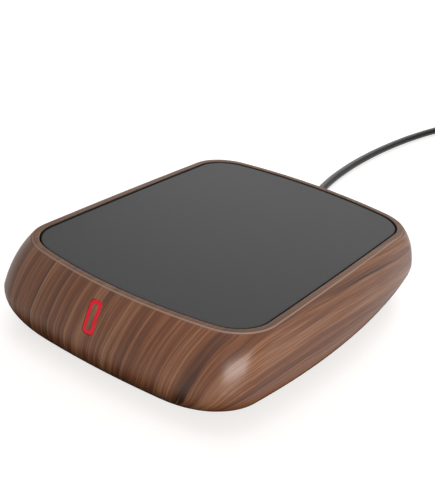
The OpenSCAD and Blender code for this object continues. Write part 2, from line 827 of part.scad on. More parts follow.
module tact_plunger() {
    color("ivory") key_place() translate([0, 0, key_board_front + 0.5 + key_travel + 0.2])
        cylinder(r = 1, h = key_stem_end - key_board_front - 0.7 - key_travel);
}

module indicator_lamps() {
    color("mistyrose") key_place() for (y = [-5, 3.4])
        translate([-1.6, y - 0.8, key_board_front]) cube([3.2, 1.6, 0.9]);
}

key_plug = [-22, board_y - 32];
module key_cable() {
    color("dimgray") for (i = [-1, 0, 1]) tube(smooth([
        [key_x - 4 + i * 1.2, -body_d / 2 + 8.6, 14.6],
        [key_x - 5 + i * 1.2, -body_d / 2 + 13, 11],
        [key_x - 8 + i * 1.2, -body_d / 2 + 22, 8],
        [key_plug.x + i * 1.2, key_plug.y - 9, 11],
        [key_plug.x + i * 1.2, key_plug.y - 2.5, board_top + 3]
    ], 3), 0.5, [0, 0, -1], [0, 1, 0]);
}

// ---- switch under the plate ----------------------------------------------------------------

module switch_at() {
    translate([switch_x, switch_y, 0]) children();
}

module micro_switch() {
    color("#202326") switch_at() difference() {
        union() {
            translate([-switch_body_w / 2, -switch_body_d / 2, switch_z])
                cube([switch_body_w, switch_body_d, switch_body_h]);
            for (x = [-5, 0, 5]) translate([x - 0.9, -0.3, switch_z - 3]) cube([1.8, 0.6, 3.2]);
        }
        for (s = [-1, 1]) translate([s * switch_hole_pitch / 2, -5, switch_hole_z])
            rotate([-90, 0, 0]) cylinder(r = 1.05, h = 10);
        translate([pusher_x - switch_x, 0, switch_z + 4]) cylinder(r = plunger_r + 0.08, h = 4);
    }
}

module switch_plunger() {
    color("firebrick") translate([pusher_x, switch_y, switch_z + 4 + plate_travel + 0.3])
        cylinder(r = plunger_r, h = plunger_top - switch_z - 4.3 - plate_travel);
}

module switch_screws() {
    color("silver") for (s = [-1, 1])
        translate([switch_x + s * switch_hole_pitch / 2, switch_y - switch_body_d / 2, switch_hole_z])
            rotate([-90, 0, 0]) screw_up(1.7, 1.2, 0.75, switch_body_d + 2.4);
}

switch_plug = [22, board_y - 32];
module switch_leads() {
    color("steelblue") for (s = [-1, 1]) tube(smooth([
        [switch_x + s * 5, switch_y, switch_z - 3],
        [switch_x + s * 7, switch_y + 1, switch_z - 5],
        [switch_x + s * 7.6, switch_y + 8, 7.5],
        [switch_plug.x + s * 4, switch_plug.y - 10, 9.5],
        [switch_plug.x + s * 1.5, switch_plug.y - 2.5, board_top + 3]
    ], 3), 0.6, [0, 0, -1], [0, 1, 0]);
}

// ---- main board ----------------------------------------------------------------------------

// A block on the main board, given by its centre
module on_board(x, y, w, d, h) {
    translate([x - w / 2, y - d / 2, board_top]) cube([w, d, h]);
}

module main_board() {
    color("darkgreen") translate([0, board_y, board_z]) difference() {
        translate([-board_w / 2, -board_d / 2, 0]) cube([board_w, board_d, board_t]);
        at_corners(standoff_x, standoff_y) translate([0, 0, -1]) cylinder(r = 1.2, h = board_t + 2);
    }
}

module board_screws() {
    color("silver") translate([0, board_y, board_top]) at_corners(standoff_x, standoff_y)
        mirror([0, 0, 1]) screw_up(2.2, 1.4, 0.85, 5);
}

module relay() {
    color("royalblue") on_board(-18, -16, 20, 10, 10);
}

module film_capacitor() {
    color("goldenrod") on_board(12, -18, 18, 8, 10);
}

module electrolytic_capacitors() {
    color("#20242c") {
        translate([-20, 6, board_top]) cylinder(r = 4, h = 10);
        translate([-10, 7, board_top]) cylinder(r = 3.15, h = 8);
    }
}

module board_fuse() {
    color("#55504a") on_board(18, 27, 8.5, 4, 8);
}

terminal_y = board_y + 31;
terminal_h = 9;
module terminal_block() {
    color("seagreen") difference() {
        on_board(0, terminal_y, 15, 8, terminal_h);
        for (s = [-1, 1]) {
            translate([s * 3.75, terminal_y, board_top + terminal_h - 3]) cylinder(r = 1.7, h = 4);
            translate([s * 3.75 - 1.5, terminal_y, board_top + 2.5]) cube([3, 6, 3]);
        }
    }
}

module board_connectors() {
    color("whitesmoke") {
        on_board(0, heater_plug_y, 10, 6, heater_plug_top - board_top);
        on_board(sensor_plug.x, sensor_plug.y, 7.5, 5, sensor_plug_top - board_top);
        on_board(key_plug.x, key_plug.y, 7.5, 5, 6);
        on_board(switch_plug.x, switch_plug.y, 7.5, 5, 6);
    }
}

module board_chips() {
    color("#1d1f22") {
        on_board(2, 3, 10, 6, 1.7);
        on_board(-12, 22, 6, 5, 1.6);
        on_board(10, 14, 4, 4, 1.5);
        for (i = [0:4]) on_board(-24 + 3 * i, 32, 2, 1.2, 0.7);
    }
}

cord_inner_y = clamp_block_y - 10;
module mains_leads() {
    color("saddlebrown") for (s = [-1, 1]) tube(smooth([
        [s * 1, cord_inner_y, gland_z],
        [s * 2, cord_inner_y - 3, gland_z + 0.8],
        [s * 3.4, cord_inner_y - 8, board_top + 3.6],
        [s * 3.75, terminal_y + 4, board_top + 4],
        [s * 3.75, terminal_y + 1, board_top + 4]
    ], 3), 0.9, [0, -1, 0], [0, -1, 0]);
}

// ---- cord ----------------------------------------------------------------------------------

boot_y = gland_face_y + 0.04;
boot_end = boot_y + boot_len;
collar_t = 2.6;
collar_r = gland_pad_r - 0.4;
module strain_relief() {
    color("#18181a") translate([0, 0, gland_z]) rotate([-90, 0, 0]) rotate_extrude() polygon([
        [cord_r + 0.05, gland_seat_y - collar_t],
        [collar_r, gland_seat_y - collar_t],
        [collar_r, gland_seat_y],
        [gland_neck_r, gland_seat_y],
        [gland_neck_r, boot_y],
        [boot_r, boot_y],
        [boot_r, boot_y + 1.6],
        [boot_r - 0.4, boot_y + 2],
        [cord_r + 0.7, boot_end],
        [cord_r + 0.05, boot_end]
    ]);
}

module cord_clamp() {
    color("#26262a") difference() {
        translate([-12, clamp_block_y - 3.5, gland_z + 0.4]) cube([24, 7, 3.2]);
        translate([0, clamp_block_y - 5, gland_z]) rotate([-90, 0, 0]) cylinder(r = cord_r + 0.05, h = 10);
        for (s = [-1, 1]) translate([s * clamp_screw_x, clamp_block_y, gland_z])
            cylinder(r = 1.35, h = 5);
    }
}

module cord_clamp_screws() {
    color("silver") for (s = [-1, 1]) translate([s * clamp_screw_x, clamp_block_y, gland_z + 3.6])
        mirror([0, 0, 1]) screw_up(2.2, 1.4, 0.95, 8.4);
}

module cord_inner() {
    color("#151515") translate([0, cord_inner_y, gland_z]) rotate([-90, 0, 0])
        cylinder(r = cord_r, h = boot_end - cord_inner_y);
}

// Route from the strain relief to the coil, on the surface that the feet stand on
cord_route = [
    [0, 3, 10.9], [-0.7, 8, 10.4], [-2.6, 12.6, 9.6], [-5.6, 16.6, 8.4], [-9.6, 19.6, 7],
    [-14.2, 21.7, 5.6], [-18.7, 24, 4.3], [-22.6, 27.2, 3.3], [-25.7, 31.4, 2.6], [-27.8, 37, 2.3],
    [-29.3, 44, 2.2], [-30.8, 53, 2.2], [-32.2, 64, 2.2], [-33.3, 76, 2.2], [-34.2, 90, 2.2],
    [-34.6, 106, 2.2], [-34.5, 122, 2.2], [-33.8, 138, 2.2], [-32.6, 155, 2.2], [-30.7, 172, 2.2],
    [-28, 190, 2.2], [-24, 208, 2.2], [-17.5, 223, 2.3], [-9, 234, 2.4], [1, 240.5, 2.5],
    [12, 242.1, 2.6]
];
cord_from = [0, boot_end, gland_z];
coil_at = [12, boot_end + 217];
coil_mean_r = 23;
coil_half_w = 4.3;
coil_low = 0.5;
coil_high = 17.3;
tie_t = 0.5;

module cord_lead() {
    route = concat([cord_from], [for (p = cord_route) [p.x, p.y + boot_end, p.z]]);
    color("#151515") tube(smooth(route, 2), cord_r, [0, 1, 0], [1, 0, 0], 8);
}

module cord_coil() {
    color("#151515") translate([coil_at.x, coil_at.y, 0]) rotate_extrude($fn = 96)
        translate([coil_mean_r - coil_half_w, coil_low])
            square([2 * coil_half_w, coil_high - coil_low]);
}

tie_w = 9;
module coil_tie() {
    low = coil_low - tie_t;
    color("#2a2a2c") translate([coil_at.x, coil_at.y - coil_mean_r, 0]) difference() {
        translate([-tie_w / 2, -coil_half_w - tie_t - 0.1, low])
            cube([tie_w, 2 * (coil_half_w + tie_t + 0.4), coil_high + tie_t - low]);
        translate([-tie_w, -coil_half_w - 0.1, low + tie_t])
            cube([2 * tie_w, 2 * coil_half_w + 0.8, coil_high - low - tie_t]);
    }
}

plug_x = 39;
plug_z = 6.5;
plug_boot_y = coil_at.y - 28;
plug_boot_len = 14;
plug_len = 28;
tail_route = [
    [37.1, 0, 15.2], [37.3, -5, 14.9], [37.8, -10, 13.4], [38.4, -15, 10.9],
    [38.8, -20, 8.3], [39, -24.5, 6.8], [39, -28, 6.5]
];
module cord_tail() {
    route = [for (p = tail_route) [p.x, p.y + coil_at.y, p.z]];
    color("#151515") tube(smooth(route, 3), cord_r, [0, -1, 0], [0, -1, 0], 8);
}

module plug_body() {
    back = plug_boot_y - plug_boot_len;
    color("#18181a") difference() {
        union() {
            translate([plug_x, plug_boot_y, plug_z]) rotate([90, 0, 0])
                cylinder(r1 = cord_r + 0.6, r2 = 4.6, h = plug_boot_len);
            translate([plug_x, back + 1, plug_z]) rotate([90, 0, 0])
                slab(21, 13, plug_len + 1, 3.5);
        }
        for (s = [-1, 1])
            translate([plug_x + s * 6.35 - 0.8, back - plug_len - 1, plug_z - 3.2])
                cube([1.6, 9, 6.4]);
    }
}

module plug_blades() {
    front = plug_boot_y - plug_boot_len - plug_len;
    color("gainsboro") for (s = [-1, 1]) difference() {
        translate([plug_x + s * 6.35 - 0.75, front - 17, plug_z - 3.15]) cube([1.5, 25, 6.3]);
        translate([plug_x + s * 6.35 - 2, front - 13, plug_z]) rotate([0, 90, 0])
            cylinder(r = 1.5, h = 4);
    }
}

upper_shell();
base_cover();
rubber_feet();
case_screws();
heating_plate();
plate_carrier();
carrier_screws();
heater_element();
insulation_pad();
clamp_plate();
clamp_screws();
temperature_sensor();
sensor_clip();
thermal_cutoff();
cutoff_bracket();
return_springs();
heater_leads();
sensor_leads();
power_key();
key_inlay();
key_board();
key_board_screws();
tact_switch();
tact_plunger();
indicator_lamps();
key_cable();
micro_switch();
switch_plunger();
switch_screws();
switch_leads();
main_board();
board_screws();
relay();
film_capacitor();
electrolytic_capacitors();
board_fuse();
terminal_block();
board_connectors();
board_chips();
mains_leads();
strain_relief();
cord_clamp();
cord_clamp_screws();
cord_inner();
cord_lead();
cord_coil();
coil_tie();
cord_tail();
plug_body();
plug_blades();
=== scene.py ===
"""Looks of an electric mug warmer: wood-finish housing, dark heating plate, lit key, cord and plug."""

import math

import bmesh
import bpy
from mathutils import Matrix, Vector


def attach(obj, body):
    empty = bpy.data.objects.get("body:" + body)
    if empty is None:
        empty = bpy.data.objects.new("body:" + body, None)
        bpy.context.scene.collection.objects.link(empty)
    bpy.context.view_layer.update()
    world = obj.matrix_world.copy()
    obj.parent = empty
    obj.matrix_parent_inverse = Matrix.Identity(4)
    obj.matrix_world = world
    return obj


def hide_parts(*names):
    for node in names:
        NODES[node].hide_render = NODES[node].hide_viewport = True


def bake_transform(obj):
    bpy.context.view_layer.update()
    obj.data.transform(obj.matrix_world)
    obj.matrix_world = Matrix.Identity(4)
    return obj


bl_info = {
    "name": "Mug warmer",
    "version": (1, 0, 0),
    "blender": (4, 5, 0),
    "location": "View3D > Sidebar > Mug warmer",
    "description": "Builds the visible pieces of an electric mug warmer around its CAD model",
    "category": "Object",
}

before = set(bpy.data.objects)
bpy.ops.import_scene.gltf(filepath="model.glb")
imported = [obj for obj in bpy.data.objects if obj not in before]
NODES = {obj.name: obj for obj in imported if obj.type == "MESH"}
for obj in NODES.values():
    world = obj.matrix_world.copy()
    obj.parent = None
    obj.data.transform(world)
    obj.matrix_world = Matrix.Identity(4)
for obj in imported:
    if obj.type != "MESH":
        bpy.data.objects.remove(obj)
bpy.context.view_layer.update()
MM = 0.001

# Places that the pieces share with the CAD model. Those of screws, feet, web, gland and cord are in mm.
KEY_X, KEY_HEIGHT = -4 * MM, 23.4 * MM
SLOT_GAP = 0.2 * MM
RIM_ROUND = 0.5 * MM
LIP_LOW, LIP_THICK, ROOF_THICK = 26.6 * MM, 1.6 * MM, 2.6 * MM
CASE_SCREWS, FEET = (43, 32), (34, 53)
WEB_END = 54.1
GLAND_SEAT, RELIEF_END, CORD_HEIGHT = 73.5, 102.08, 11.0
# Bow of the sides, bow of the ends and corner radius, at the widest level and at the rim
WIDE_BOWS = (8.3 * MM, 5.6 * MM, 18 * MM)
RIM_BOWS = (0.7 * MM, 7.7 * MM, 18.5 * MM)
# How much the grain leans on the front's slope, and how far inside the rim's outer edge that starts
GRAIN_LEAN, LEAN_FROM = 0.19, 5 * MM
# Which of the housing's two materials its hidden faces show
INSIDE = 1


# ---- settings ----------------------------------------------------------------------

def length(name, description, default):
    return bpy.props.FloatProperty(name=name, description=description, default=default, min=0.0, max=1.0,
                                   precision=5, subtype="DISTANCE", unit="LENGTH")


def colour(name, description, default):
    return bpy.props.FloatVectorProperty(name=name, description=description, default=default, size=3,
                                         min=0.0, max=1.0, subtype="COLOR")


def share(name, description, default):
    return bpy.props.FloatProperty(name=name, description=description, default=default, min=0.0, max=1.0,
                                   subtype="FACTOR")


class WarmerSizes(bpy.types.PropertyGroup):
    """Sizes of the visible pieces, which match the CAD model"""
    width: length("Width", "Width of the housing at its widest level", 120 * MM)
    depth: length("Depth", "Depth of the housing at its widest level", 160 * MM)
    height: length("Height", "Height of the rim above the surface", 33 * MM)
    widest: length("Widest level", "Height of the widest level", 15 * MM)
    top_inset: length("Top inset", "How far the rim's outer edge lies inside the widest level", 8.2 * MM)
    side_tuck: length("Side tuck", "How far the long sides would tuck in at the surface", 16.5 * MM)
    end_tuck: length("End tuck", "How far the front and rear would tuck in at the surface", 11.5 * MM)
    low_corner: length("Low corner", "Corner radius that the underside would reach at the surface", 34 * MM)
    ground_gap: length("Ground gap", "Height of the housing's lower edge", 1.6 * MM)
    wall: length("Wall", "Thickness of the housing's wall", 2.4 * MM)
    rim: length("Rim", "Width of the rim's flat top", 2.6 * MM)
    plate_gap: length("Plate gap", "Gap between the plate and the rim", 0.7 * MM)
    plate_drop: length("Plate drop", "How far the plate lies below the rim", 0.4 * MM)
    key_width: length("Key width", "Width of the key", 4.7 * MM)
    key_length: length("Key length", "Length of the key up the slope", 12 * MM)
    key_corner: length("Key corner", "Corner radius of the key", 1.4 * MM)
    light_width: length("Light width", "Width of the lit outline", 1.3 * MM)
    cord: length("Cord", "Diameter of the cord", 4.2 * MM)


class WarmerLooks(bpy.types.PropertyGroup):
    """Colours and finishes of the visible pieces"""
    wood_light: colour("Light wood", "Colour of the pale grain", (0.265, 0.134, 0.074))
    wood_mid: colour("Wood", "Main colour of the wood finish", (0.150, 0.058, 0.027))
    wood_dark: colour("Dark wood", "Colour of the dark grain", (0.080, 0.034, 0.020))
    wood_gloss: share("Wood roughness", "Roughness of the wood finish's clear coat", 0.27)
    # The rim colour is a painted sheen: the up-facing flat top is washed toward a pale greyish tan
    rim: colour("Rim", "Colour of the rim's flat top", (0.16, 0.092, 0.060))
    plate: colour("Plate", "Colour of the plate's coating", (0.034, 0.034, 0.035))
    light: colour("Key light", "Colour of the lit outline", (0.70, 0.002, 0.018))
    cord: colour("Cord", "Colour of the cord's jacket", (0.006, 0.006, 0.007))


def sizes():
    return bpy.context.scene.warmer_sizes


def looks():
    return bpy.context.scene.warmer_looks


# ---- node helpers ------------------------------------------------------------------

class Tree:
    """A short way to add nodes, feed their sockets and link them"""

    def __init__(self, tree):
        self.nodes = tree.nodes
        self.links = tree.links

    def set(self, socket, value):
        if isinstance(value, bpy.types.NodeSocket):
            self.links.new(value, socket)
        else:
            socket.default_value = value

    def feed(self, node, inputs):
        for key, value in inputs.items():
            self.set(node.inputs[key], value)

    def add(self, kind, inputs=None, **settings):
        node = self.nodes.new(kind)
        for key, value in settings.items():
            setattr(node, key, value)
        self.feed(node, inputs or {})
        return node

    def math(self, operation, *values):
        return self.add("ShaderNodeMath", dict(enumerate(values)), operation=operation).outputs[0]

    def plus(self, total, *values):
        for value in values:
            total = self.math("ADD", total, value)
        return total

    def less(self, a, b):
        return self.math("SUBTRACT", a, b)

    def times(self, a, b):
        return self.math("MULTIPLY", a, b)

    def swing(self, value, size):
        """A value between 0 and 1 turned into a swing around zero"""
        return self.times(self.less(value, 0.5), size)

    def mix(self, factor, a, b, blend="MIX"):
        node = self.add("ShaderNodeMix", data_type="RGBA", blend_type=blend)
        self.feed(node, {"Factor": factor, 6: a, 7: b})
        return node.outputs[2]

    def span(self, value, low, high, to_low=0.0, to_high=1.0, smooth=False):
        inputs = {"Value": value, "From Min": low, "From Max": high, "To Min": to_low, "To Max": to_high}
        kind = "SMOOTHSTEP" if smooth else "LINEAR"
        return self.add("ShaderNodeMapRange", inputs, interpolation_type=kind).outputs["Result"]

    def noise(self, vector, scale, detail=3.0, rough=0.55):
        inputs = {"Vector": vector, "Scale": scale, "Detail": detail, "Roughness": rough}
        return self.add("ShaderNodeTexNoise", inputs).outputs["Fac"]

    def stretch(self, vector, x, y, z, shift=(0.0, 0.0, 0.0)):
        inputs = {"Vector": vector, "Scale": (x, y, z), "Location": shift}
        return self.add("ShaderNodeMapping", inputs).outputs["Vector"]

    def split(self, vector):
        return self.add("ShaderNodeSeparateXYZ", {"Vector": vector}).outputs

    def scaled(self, colour, factor):
        return self.add("ShaderNodeVectorMath", {0: colour, "Scale": factor}, operation="SCALE").outputs[0]

    def object_vector(self):
        return self.add("ShaderNodeTexCoord").outputs["Object"]

    def place(self, group, inputs):
        return self.add("ShaderNodeGroup", inputs, node_tree=group).outputs

    def bump(self, shader, height, distance, strength=1.0):
        inputs = {"Height": height, "Distance": distance, "Strength": strength}
        self.set(shader.inputs["Normal"], self.add("ShaderNodeBump", inputs).outputs["Normal"])


def node_group(name, inputs, outputs, build):
    """Makes a shader node group once. An input's default is a number, a colour, or None for a vector."""
    if name in bpy.data.node_groups:
        return bpy.data.node_groups[name]
    group = bpy.data.node_groups.new(name, "ShaderNodeTree")
    for label, value in inputs.items():
        kind = "Vector" if value is None else "Color" if isinstance(value, tuple) else "Float"
        socket = group.interface.new_socket(label, in_out="INPUT", socket_type="NodeSocket" + kind)
        if value is not None:
            socket.default_value = value
    for label in outputs:
        kind = "Color" if label == "Color" else "Float"
        group.interface.new_socket(label, in_out="OUTPUT", socket_type="NodeSocket" + kind)
    t = Tree(group)
    build(t, t.add("NodeGroupInput").outputs, t.add("NodeGroupOutput").inputs)
    return group


def walnut_grain():
    """Colour, roughness and height of walnut. The vector's X runs across the grain and Y along it."""
    def build(t, i, o):
        v = i["Vector"]
        # slow sideways drift of the lines, so that they wander and spread
        parts = t.split(v)
        drift = t.noise(t.stretch(v, 9, 3.2, 0), 1.0, 2.0, 0.5)
        sway = t.noise(t.stretch(v, 38, 9, 0, shift=(7.3, 2.1, 0)), 1.0, 2.0, 0.5)
        across = t.plus(parts["X"], t.plus(t.swing(drift, 0.030), t.swing(sway, 0.006)))
        flow = t.add("ShaderNodeCombineXYZ", {"X": across, "Y": parts["Y"]}).outputs[0]
        broad = t.noise(t.stretch(flow, 95, 2.5, 0), 1.0, 2.0, 0.55)
        bands = t.noise(t.stretch(flow, 310, 4.0, 0, shift=(3.1, 0, 0)), 1.0, 3.0, 0.6)
        streaks = t.noise(t.stretch(flow, 1150, 14, 0, shift=(0, 5.7, 0)), 1.0, 3.0, 0.7)
        # growth rings: each is pale on one side and shades off to the next
        ring = t.math("FRACT", t.plus(t.times(across, 130.0), t.times(broad, 2.2)))
        gate = t.noise(t.stretch(v, 46, 12, 0, shift=(1.7, 9.2, 0)), 1.0, 1.0, 0.5)
        strong = t.span(gate, 0.40, 0.60, 0.25, 1.0, smooth=True)
        fall = t.times(t.less(0.5, ring), t.times(strong, 0.5))
        fibres = t.noise(t.stretch(flow, 2400, 40, 0, shift=(2.2, 8.1, 0)), 1.0, 2.0, 0.6)
        tone = t.plus(t.swing(broad, 0.9), t.swing(bands, 1.4), t.swing(streaks, 1.7), fall,
                      t.swing(fibres, 0.9), 0.5)
        low = t.mix(t.span(tone, 0.05, 0.5), i["Dark"], i["Mid"])
        wood = t.mix(t.span(tone, 0.5, 1.0), low, i["Light"])
        # warmer patches
        warm = t.span(t.noise(t.stretch(flow, 30, 6, 0, shift=(4.4, 1.3, 0)), 1.0, 2.0, 0.5), 0.40, 0.65)
        wood = t.mix(t.times(warm, 0.6), wood, (1.0, 0.84, 0.74, 1), "MULTIPLY")
        # thin dark late-wood lines where one ring meets the next
        line = t.times(t.span(ring, 0.93, 0.975, smooth=True), t.span(ring, 0.985, 1.0, 1.0, 0.0))
        line = t.times(line, t.span(gate, 0.46, 0.62, 0.0, 1.0, smooth=True))
        wood = t.mix(t.times(line, i["Lines"]), wood, (0.022, 0.011, 0.008, 1))
        # short open pores along the grain
        cells = t.add("ShaderNodeTexVoronoi", {"Vector": t.stretch(flow, 1500, 110, 0), "Scale": 1.0})
        pore = t.span(cells.outputs["Distance"], 0.05, 0.22, 1.0, 0.0, smooth=True)
        pore = t.times(pore, t.span(bands, 0.4, 0.62, 1.0, 0.15))
        wood = t.mix(t.times(pore, i["Pores"]), wood, i["Dark"])
        t.set(o["Color"], wood)
        rough = t.plus(t.times(streaks, 0.14), t.times(pore, 0.12))
        t.set(o["Roughness"], t.plus(rough, i["Roughness"]))
        height = t.less(t.times(streaks, 0.5), t.times(pore, 0.7))
        t.set(o["Height"], t.less(height, t.times(line, 0.6)))
    return node_group("walnut grain", {
        "Vector": None, "Light": (0.265, 0.134, 0.074, 1), "Mid": (0.150, 0.058, 0.027, 1),
        "Dark": (0.080, 0.034, 0.020, 1), "Lines": 0.95, "Pores": 0.35, "Roughness": 0.3,
    }, ("Color", "Roughness", "Height"), build)


def fine_texture():
    """Height and shade of a fine moulded or sprayed texture, with a faint uneven sheen"""
    def build(t, i, o):
        grit = t.noise(i["Vector"], i["Scale"], 3.0, 0.6)
        cloud = t.noise(i["Vector"], 24.0, 3.0, 0.55)
        t.set(o["Height"], grit)
        t.set(o["Shade"], t.plus(t.swing(grit, i["Grit"]), t.swing(cloud, i["Cloud"])))
    inputs = {"Vector": None, "Scale": 2600.0, "Grit": 0.3, "Cloud": 0.1}
    return node_group("fine texture", inputs, ("Height", "Shade"), build)


def edge_wear():
    """Mask of rubbed edges, where the surface bends sharply. On the wood finish these pale edges are partly
    wear and partly a painted highlight.
    """
    def build(t, i, o):
        bend = t.add("ShaderNodeNewGeometry").outputs["Pointiness"]
        patch = t.noise(i["Vector"], 260.0, 3.0, 0.6)
        mask = t.times(t.span(bend, 0.52, 0.62, smooth=True), t.span(patch, 0.4, 0.65))
        t.set(o["Mask"], t.times(mask, i["Amount"]))
    return node_group("edge wear", {"Vector": None, "Amount": 0.5}, ("Mask",), build)


def brushed_lines():
    """Roughness and height of fine drawn lines in metal, along X"""
    def build(t, i, o):
        drawn = t.noise(t.stretch(i["Vector"], 60, 2600, 2600), 1.0, 2.0, 0.6)
        stain = t.noise(i["Vector"], 90.0, 3.0, 0.6)
        t.set(o["Roughness"], t.plus(t.times(drawn, 0.14), t.times(stain, 0.1), i["Roughness"]))
        t.set(o["Height"], drawn)
        t.set(o["Stain"], t.span(stain, 0.35, 0.7))
    inputs = {"Vector": None, "Roughness": 0.2}
    return node_group("brushed lines", inputs, ("Roughness", "Height", "Stain"), build)


# ---- materials ---------------------------------------------------------------------

# Pale colour painted as a highlight on the rounded edge outside the rim
RIM_EDGE_PAINTED_HIGHLIGHT = (0.40, 0.29, 0.23, 1)
# Pale colour of sharp edges: partly wear, partly a painted highlight
WORN_EDGE_AND_PAINTED_HIGHLIGHT = (0.42, 0.30, 0.23, 1)
# Dark brown painted as shade on the housing's tuck towards the underside
TUCK_PAINTED_SHADE = (0.036, 0.019, 0.013, 1)
PLATE_FLECK = (0.075, 0.075, 0.078, 1)
LENS_BODY = (0.20, 0.003, 0.008, 1)


def new_material(name):
    material = bpy.data.materials.new(name)
    material.use_nodes = True
    t = Tree(material.node_tree)
    return material, t, t.nodes["Principled BSDF"]


def rgba(value):
    return (*value, 1.0)


def wood_material(name, attribute):
    """Walnut finish under a satin clear coat. The grain follows the attribute of that name."""
    material, t, shader = new_material(name)
    look = looks()
    grain = t.add("ShaderNodeAttribute", attribute_name=attribute).outputs["Vector"]
    out = t.place(walnut_grain(), {
        "Vector": grain, "Light": rgba(look.wood_light), "Mid": rgba(look.wood_mid),
        "Dark": rgba(look.wood_dark), "Roughness": 0.38,
    })
    spot = t.split(grain)["Z"]
    # Painted sheen: the rim's flat top (spot 1) is washed halfway toward the rim colour
    wood = t.mix(t.span(spot, 0.3, 0.9, 0.0, 0.5), out["Color"], rgba(look.rim))
    # Painted highlight: a pale line on the rounded edge outside the rim's flat top (spot 2)
    wood = t.mix(t.span(spot, 1.2, 1.8, 0.0, 0.55, smooth=True), wood, RIM_EDGE_PAINTED_HIGHLIGHT)
    height = t.split(t.object_vector())["Z"]
    # Pale sharp edges: partly edge wear, partly a painted highlight along those edges
    wear = t.place(edge_wear(), {"Vector": t.object_vector(), "Amount": 0.35})["Mask"]
    wood = t.mix(wear, wood, WORN_EDGE_AND_PAINTED_HIGHLIGHT)
    # Painted shade: the wood is mixed toward dark brown from 11.5 mm down to the lower edge, where the floor
    # shades the tuck
    tuck_painted_shade = t.span(height, 0.0016, 0.0115, 0.92, 0.0, smooth=True)
    coat = t.span(height, 0.0085, 0.0155, 0.0, 0.62, smooth=True)
    t.feed(shader, {
        "Base Color": t.mix(tuck_painted_shade, wood, TUCK_PAINTED_SHADE), "Roughness": out["Roughness"], "Specular IOR Level": 0.0,
        "Coat Weight": t.times(coat, t.span(spot, 0.3, 0.9, 1.0, 0.3)), "Coat Roughness": look.wood_gloss,
    })
    t.bump(shader, out["Height"], 0.00006, 0.6)
    return material


def textured_material(name, base, rough, scale=2600.0, grit=0.3, cloud=0.12, depth=0.00002, coat=0.0,
                      wear=0.0, worn=None):
    material, t, shader = new_material(name)
    v = t.object_vector()
    out = t.place(fine_texture(), {"Vector": v, "Scale": scale, "Grit": grit, "Cloud": cloud})
    base_colour = t.scaled(base, t.plus(out["Shade"], 1.0))
    if wear:
        mask = t.place(edge_wear(), {"Vector": v, "Amount": wear})["Mask"]
        base_colour = t.mix(mask, base_colour, rgba(worn))
    t.feed(shader, {"Base Color": base_colour, "Roughness": t.plus(t.times(out["Shade"], 0.25), rough),
                    "Coat Weight": coat, "Coat Roughness": 0.25})
    t.bump(shader, out["Height"], depth)
    return material


def metal_material(name, base, rough, stain):
    material, t, shader = new_material(name)
    out = t.place(brushed_lines(), {"Vector": t.object_vector(), "Roughness": rough})
    t.feed(shader, {"Base Color": t.mix(t.times(out["Stain"], 0.25), rgba(base), rgba(stain)),
                    "Metallic": 1.0, "Roughness": out["Roughness"]})
    t.bump(shader, out["Height"], 0.000006)
    return material


def light_material():
    """Red translucent plastic lit from behind, a little brighter near the two lamps"""
    material, t, shader = new_material("lit red lens")
    v = t.object_vector()
    cloud = t.noise(v, 420.0, 2.0, 0.5)
    from_middle = t.math("ABSOLUTE", t.less(t.split(v)["Z"], KEY_HEIGHT))
    glow = t.plus(t.span(from_middle, 0.0, 0.007, 0.92, 1.0), t.swing(cloud, 0.1))
    t.feed(shader, {"Emission Color": t.scaled(looks().light, glow), "Emission Strength": 0.62,
                    "Base Color": LENS_BODY, "Specular IOR Level": 0.25,
                    "Roughness": t.plus(t.times(cloud, 0.1), 0.28)})
    return material


def plate_material():
    """Dark non-stick coating with a fine sprayed texture and a soft sheen"""
    material, t, shader = new_material("coated plate")
    v = t.object_vector()
    out = t.place(fine_texture(), {"Vector": v, "Scale": 1700.0, "Grit": 0.45, "Cloud": 0.10})
    speck = t.add("ShaderNodeTexVoronoi", {"Vector": v, "Scale": 1500.0}).outputs["Distance"]
    fleck = t.span(speck, 0.04, 0.16, 1.0, 0.0, smooth=True)
    coating = t.scaled(looks().plate, t.plus(out["Shade"], 1.0))
    t.feed(shader, {"Base Color": t.mix(t.times(fleck, 0.30), coating, PLATE_FLECK),
                    "Roughness": t.plus(t.times(out["Shade"], 0.3), 0.55), "Specular IOR Level": 0.12})
    t.bump(shader, t.plus(out["Height"], t.times(fleck, 0.5)), 0.00003, 0.8)
    return material


def cord_material():
    """Satin black jacket"""
    material, t, shader = new_material("cord jacket")
    out = t.place(fine_texture(), {"Vector": t.object_vector(), "Scale": 3200.0, "Grit": 0.35, "Cloud": 0.25})
    t.feed(shader, {"Base Color": t.scaled(looks().cord, t.plus(out["Shade"], 1.0)),
                    "Roughness": t.plus(t.times(out["Shade"], 0.3), 0.45), "Specular IOR Level": 0.25})
    t.bump(shader, out["Height"], 0.000015)
    return material


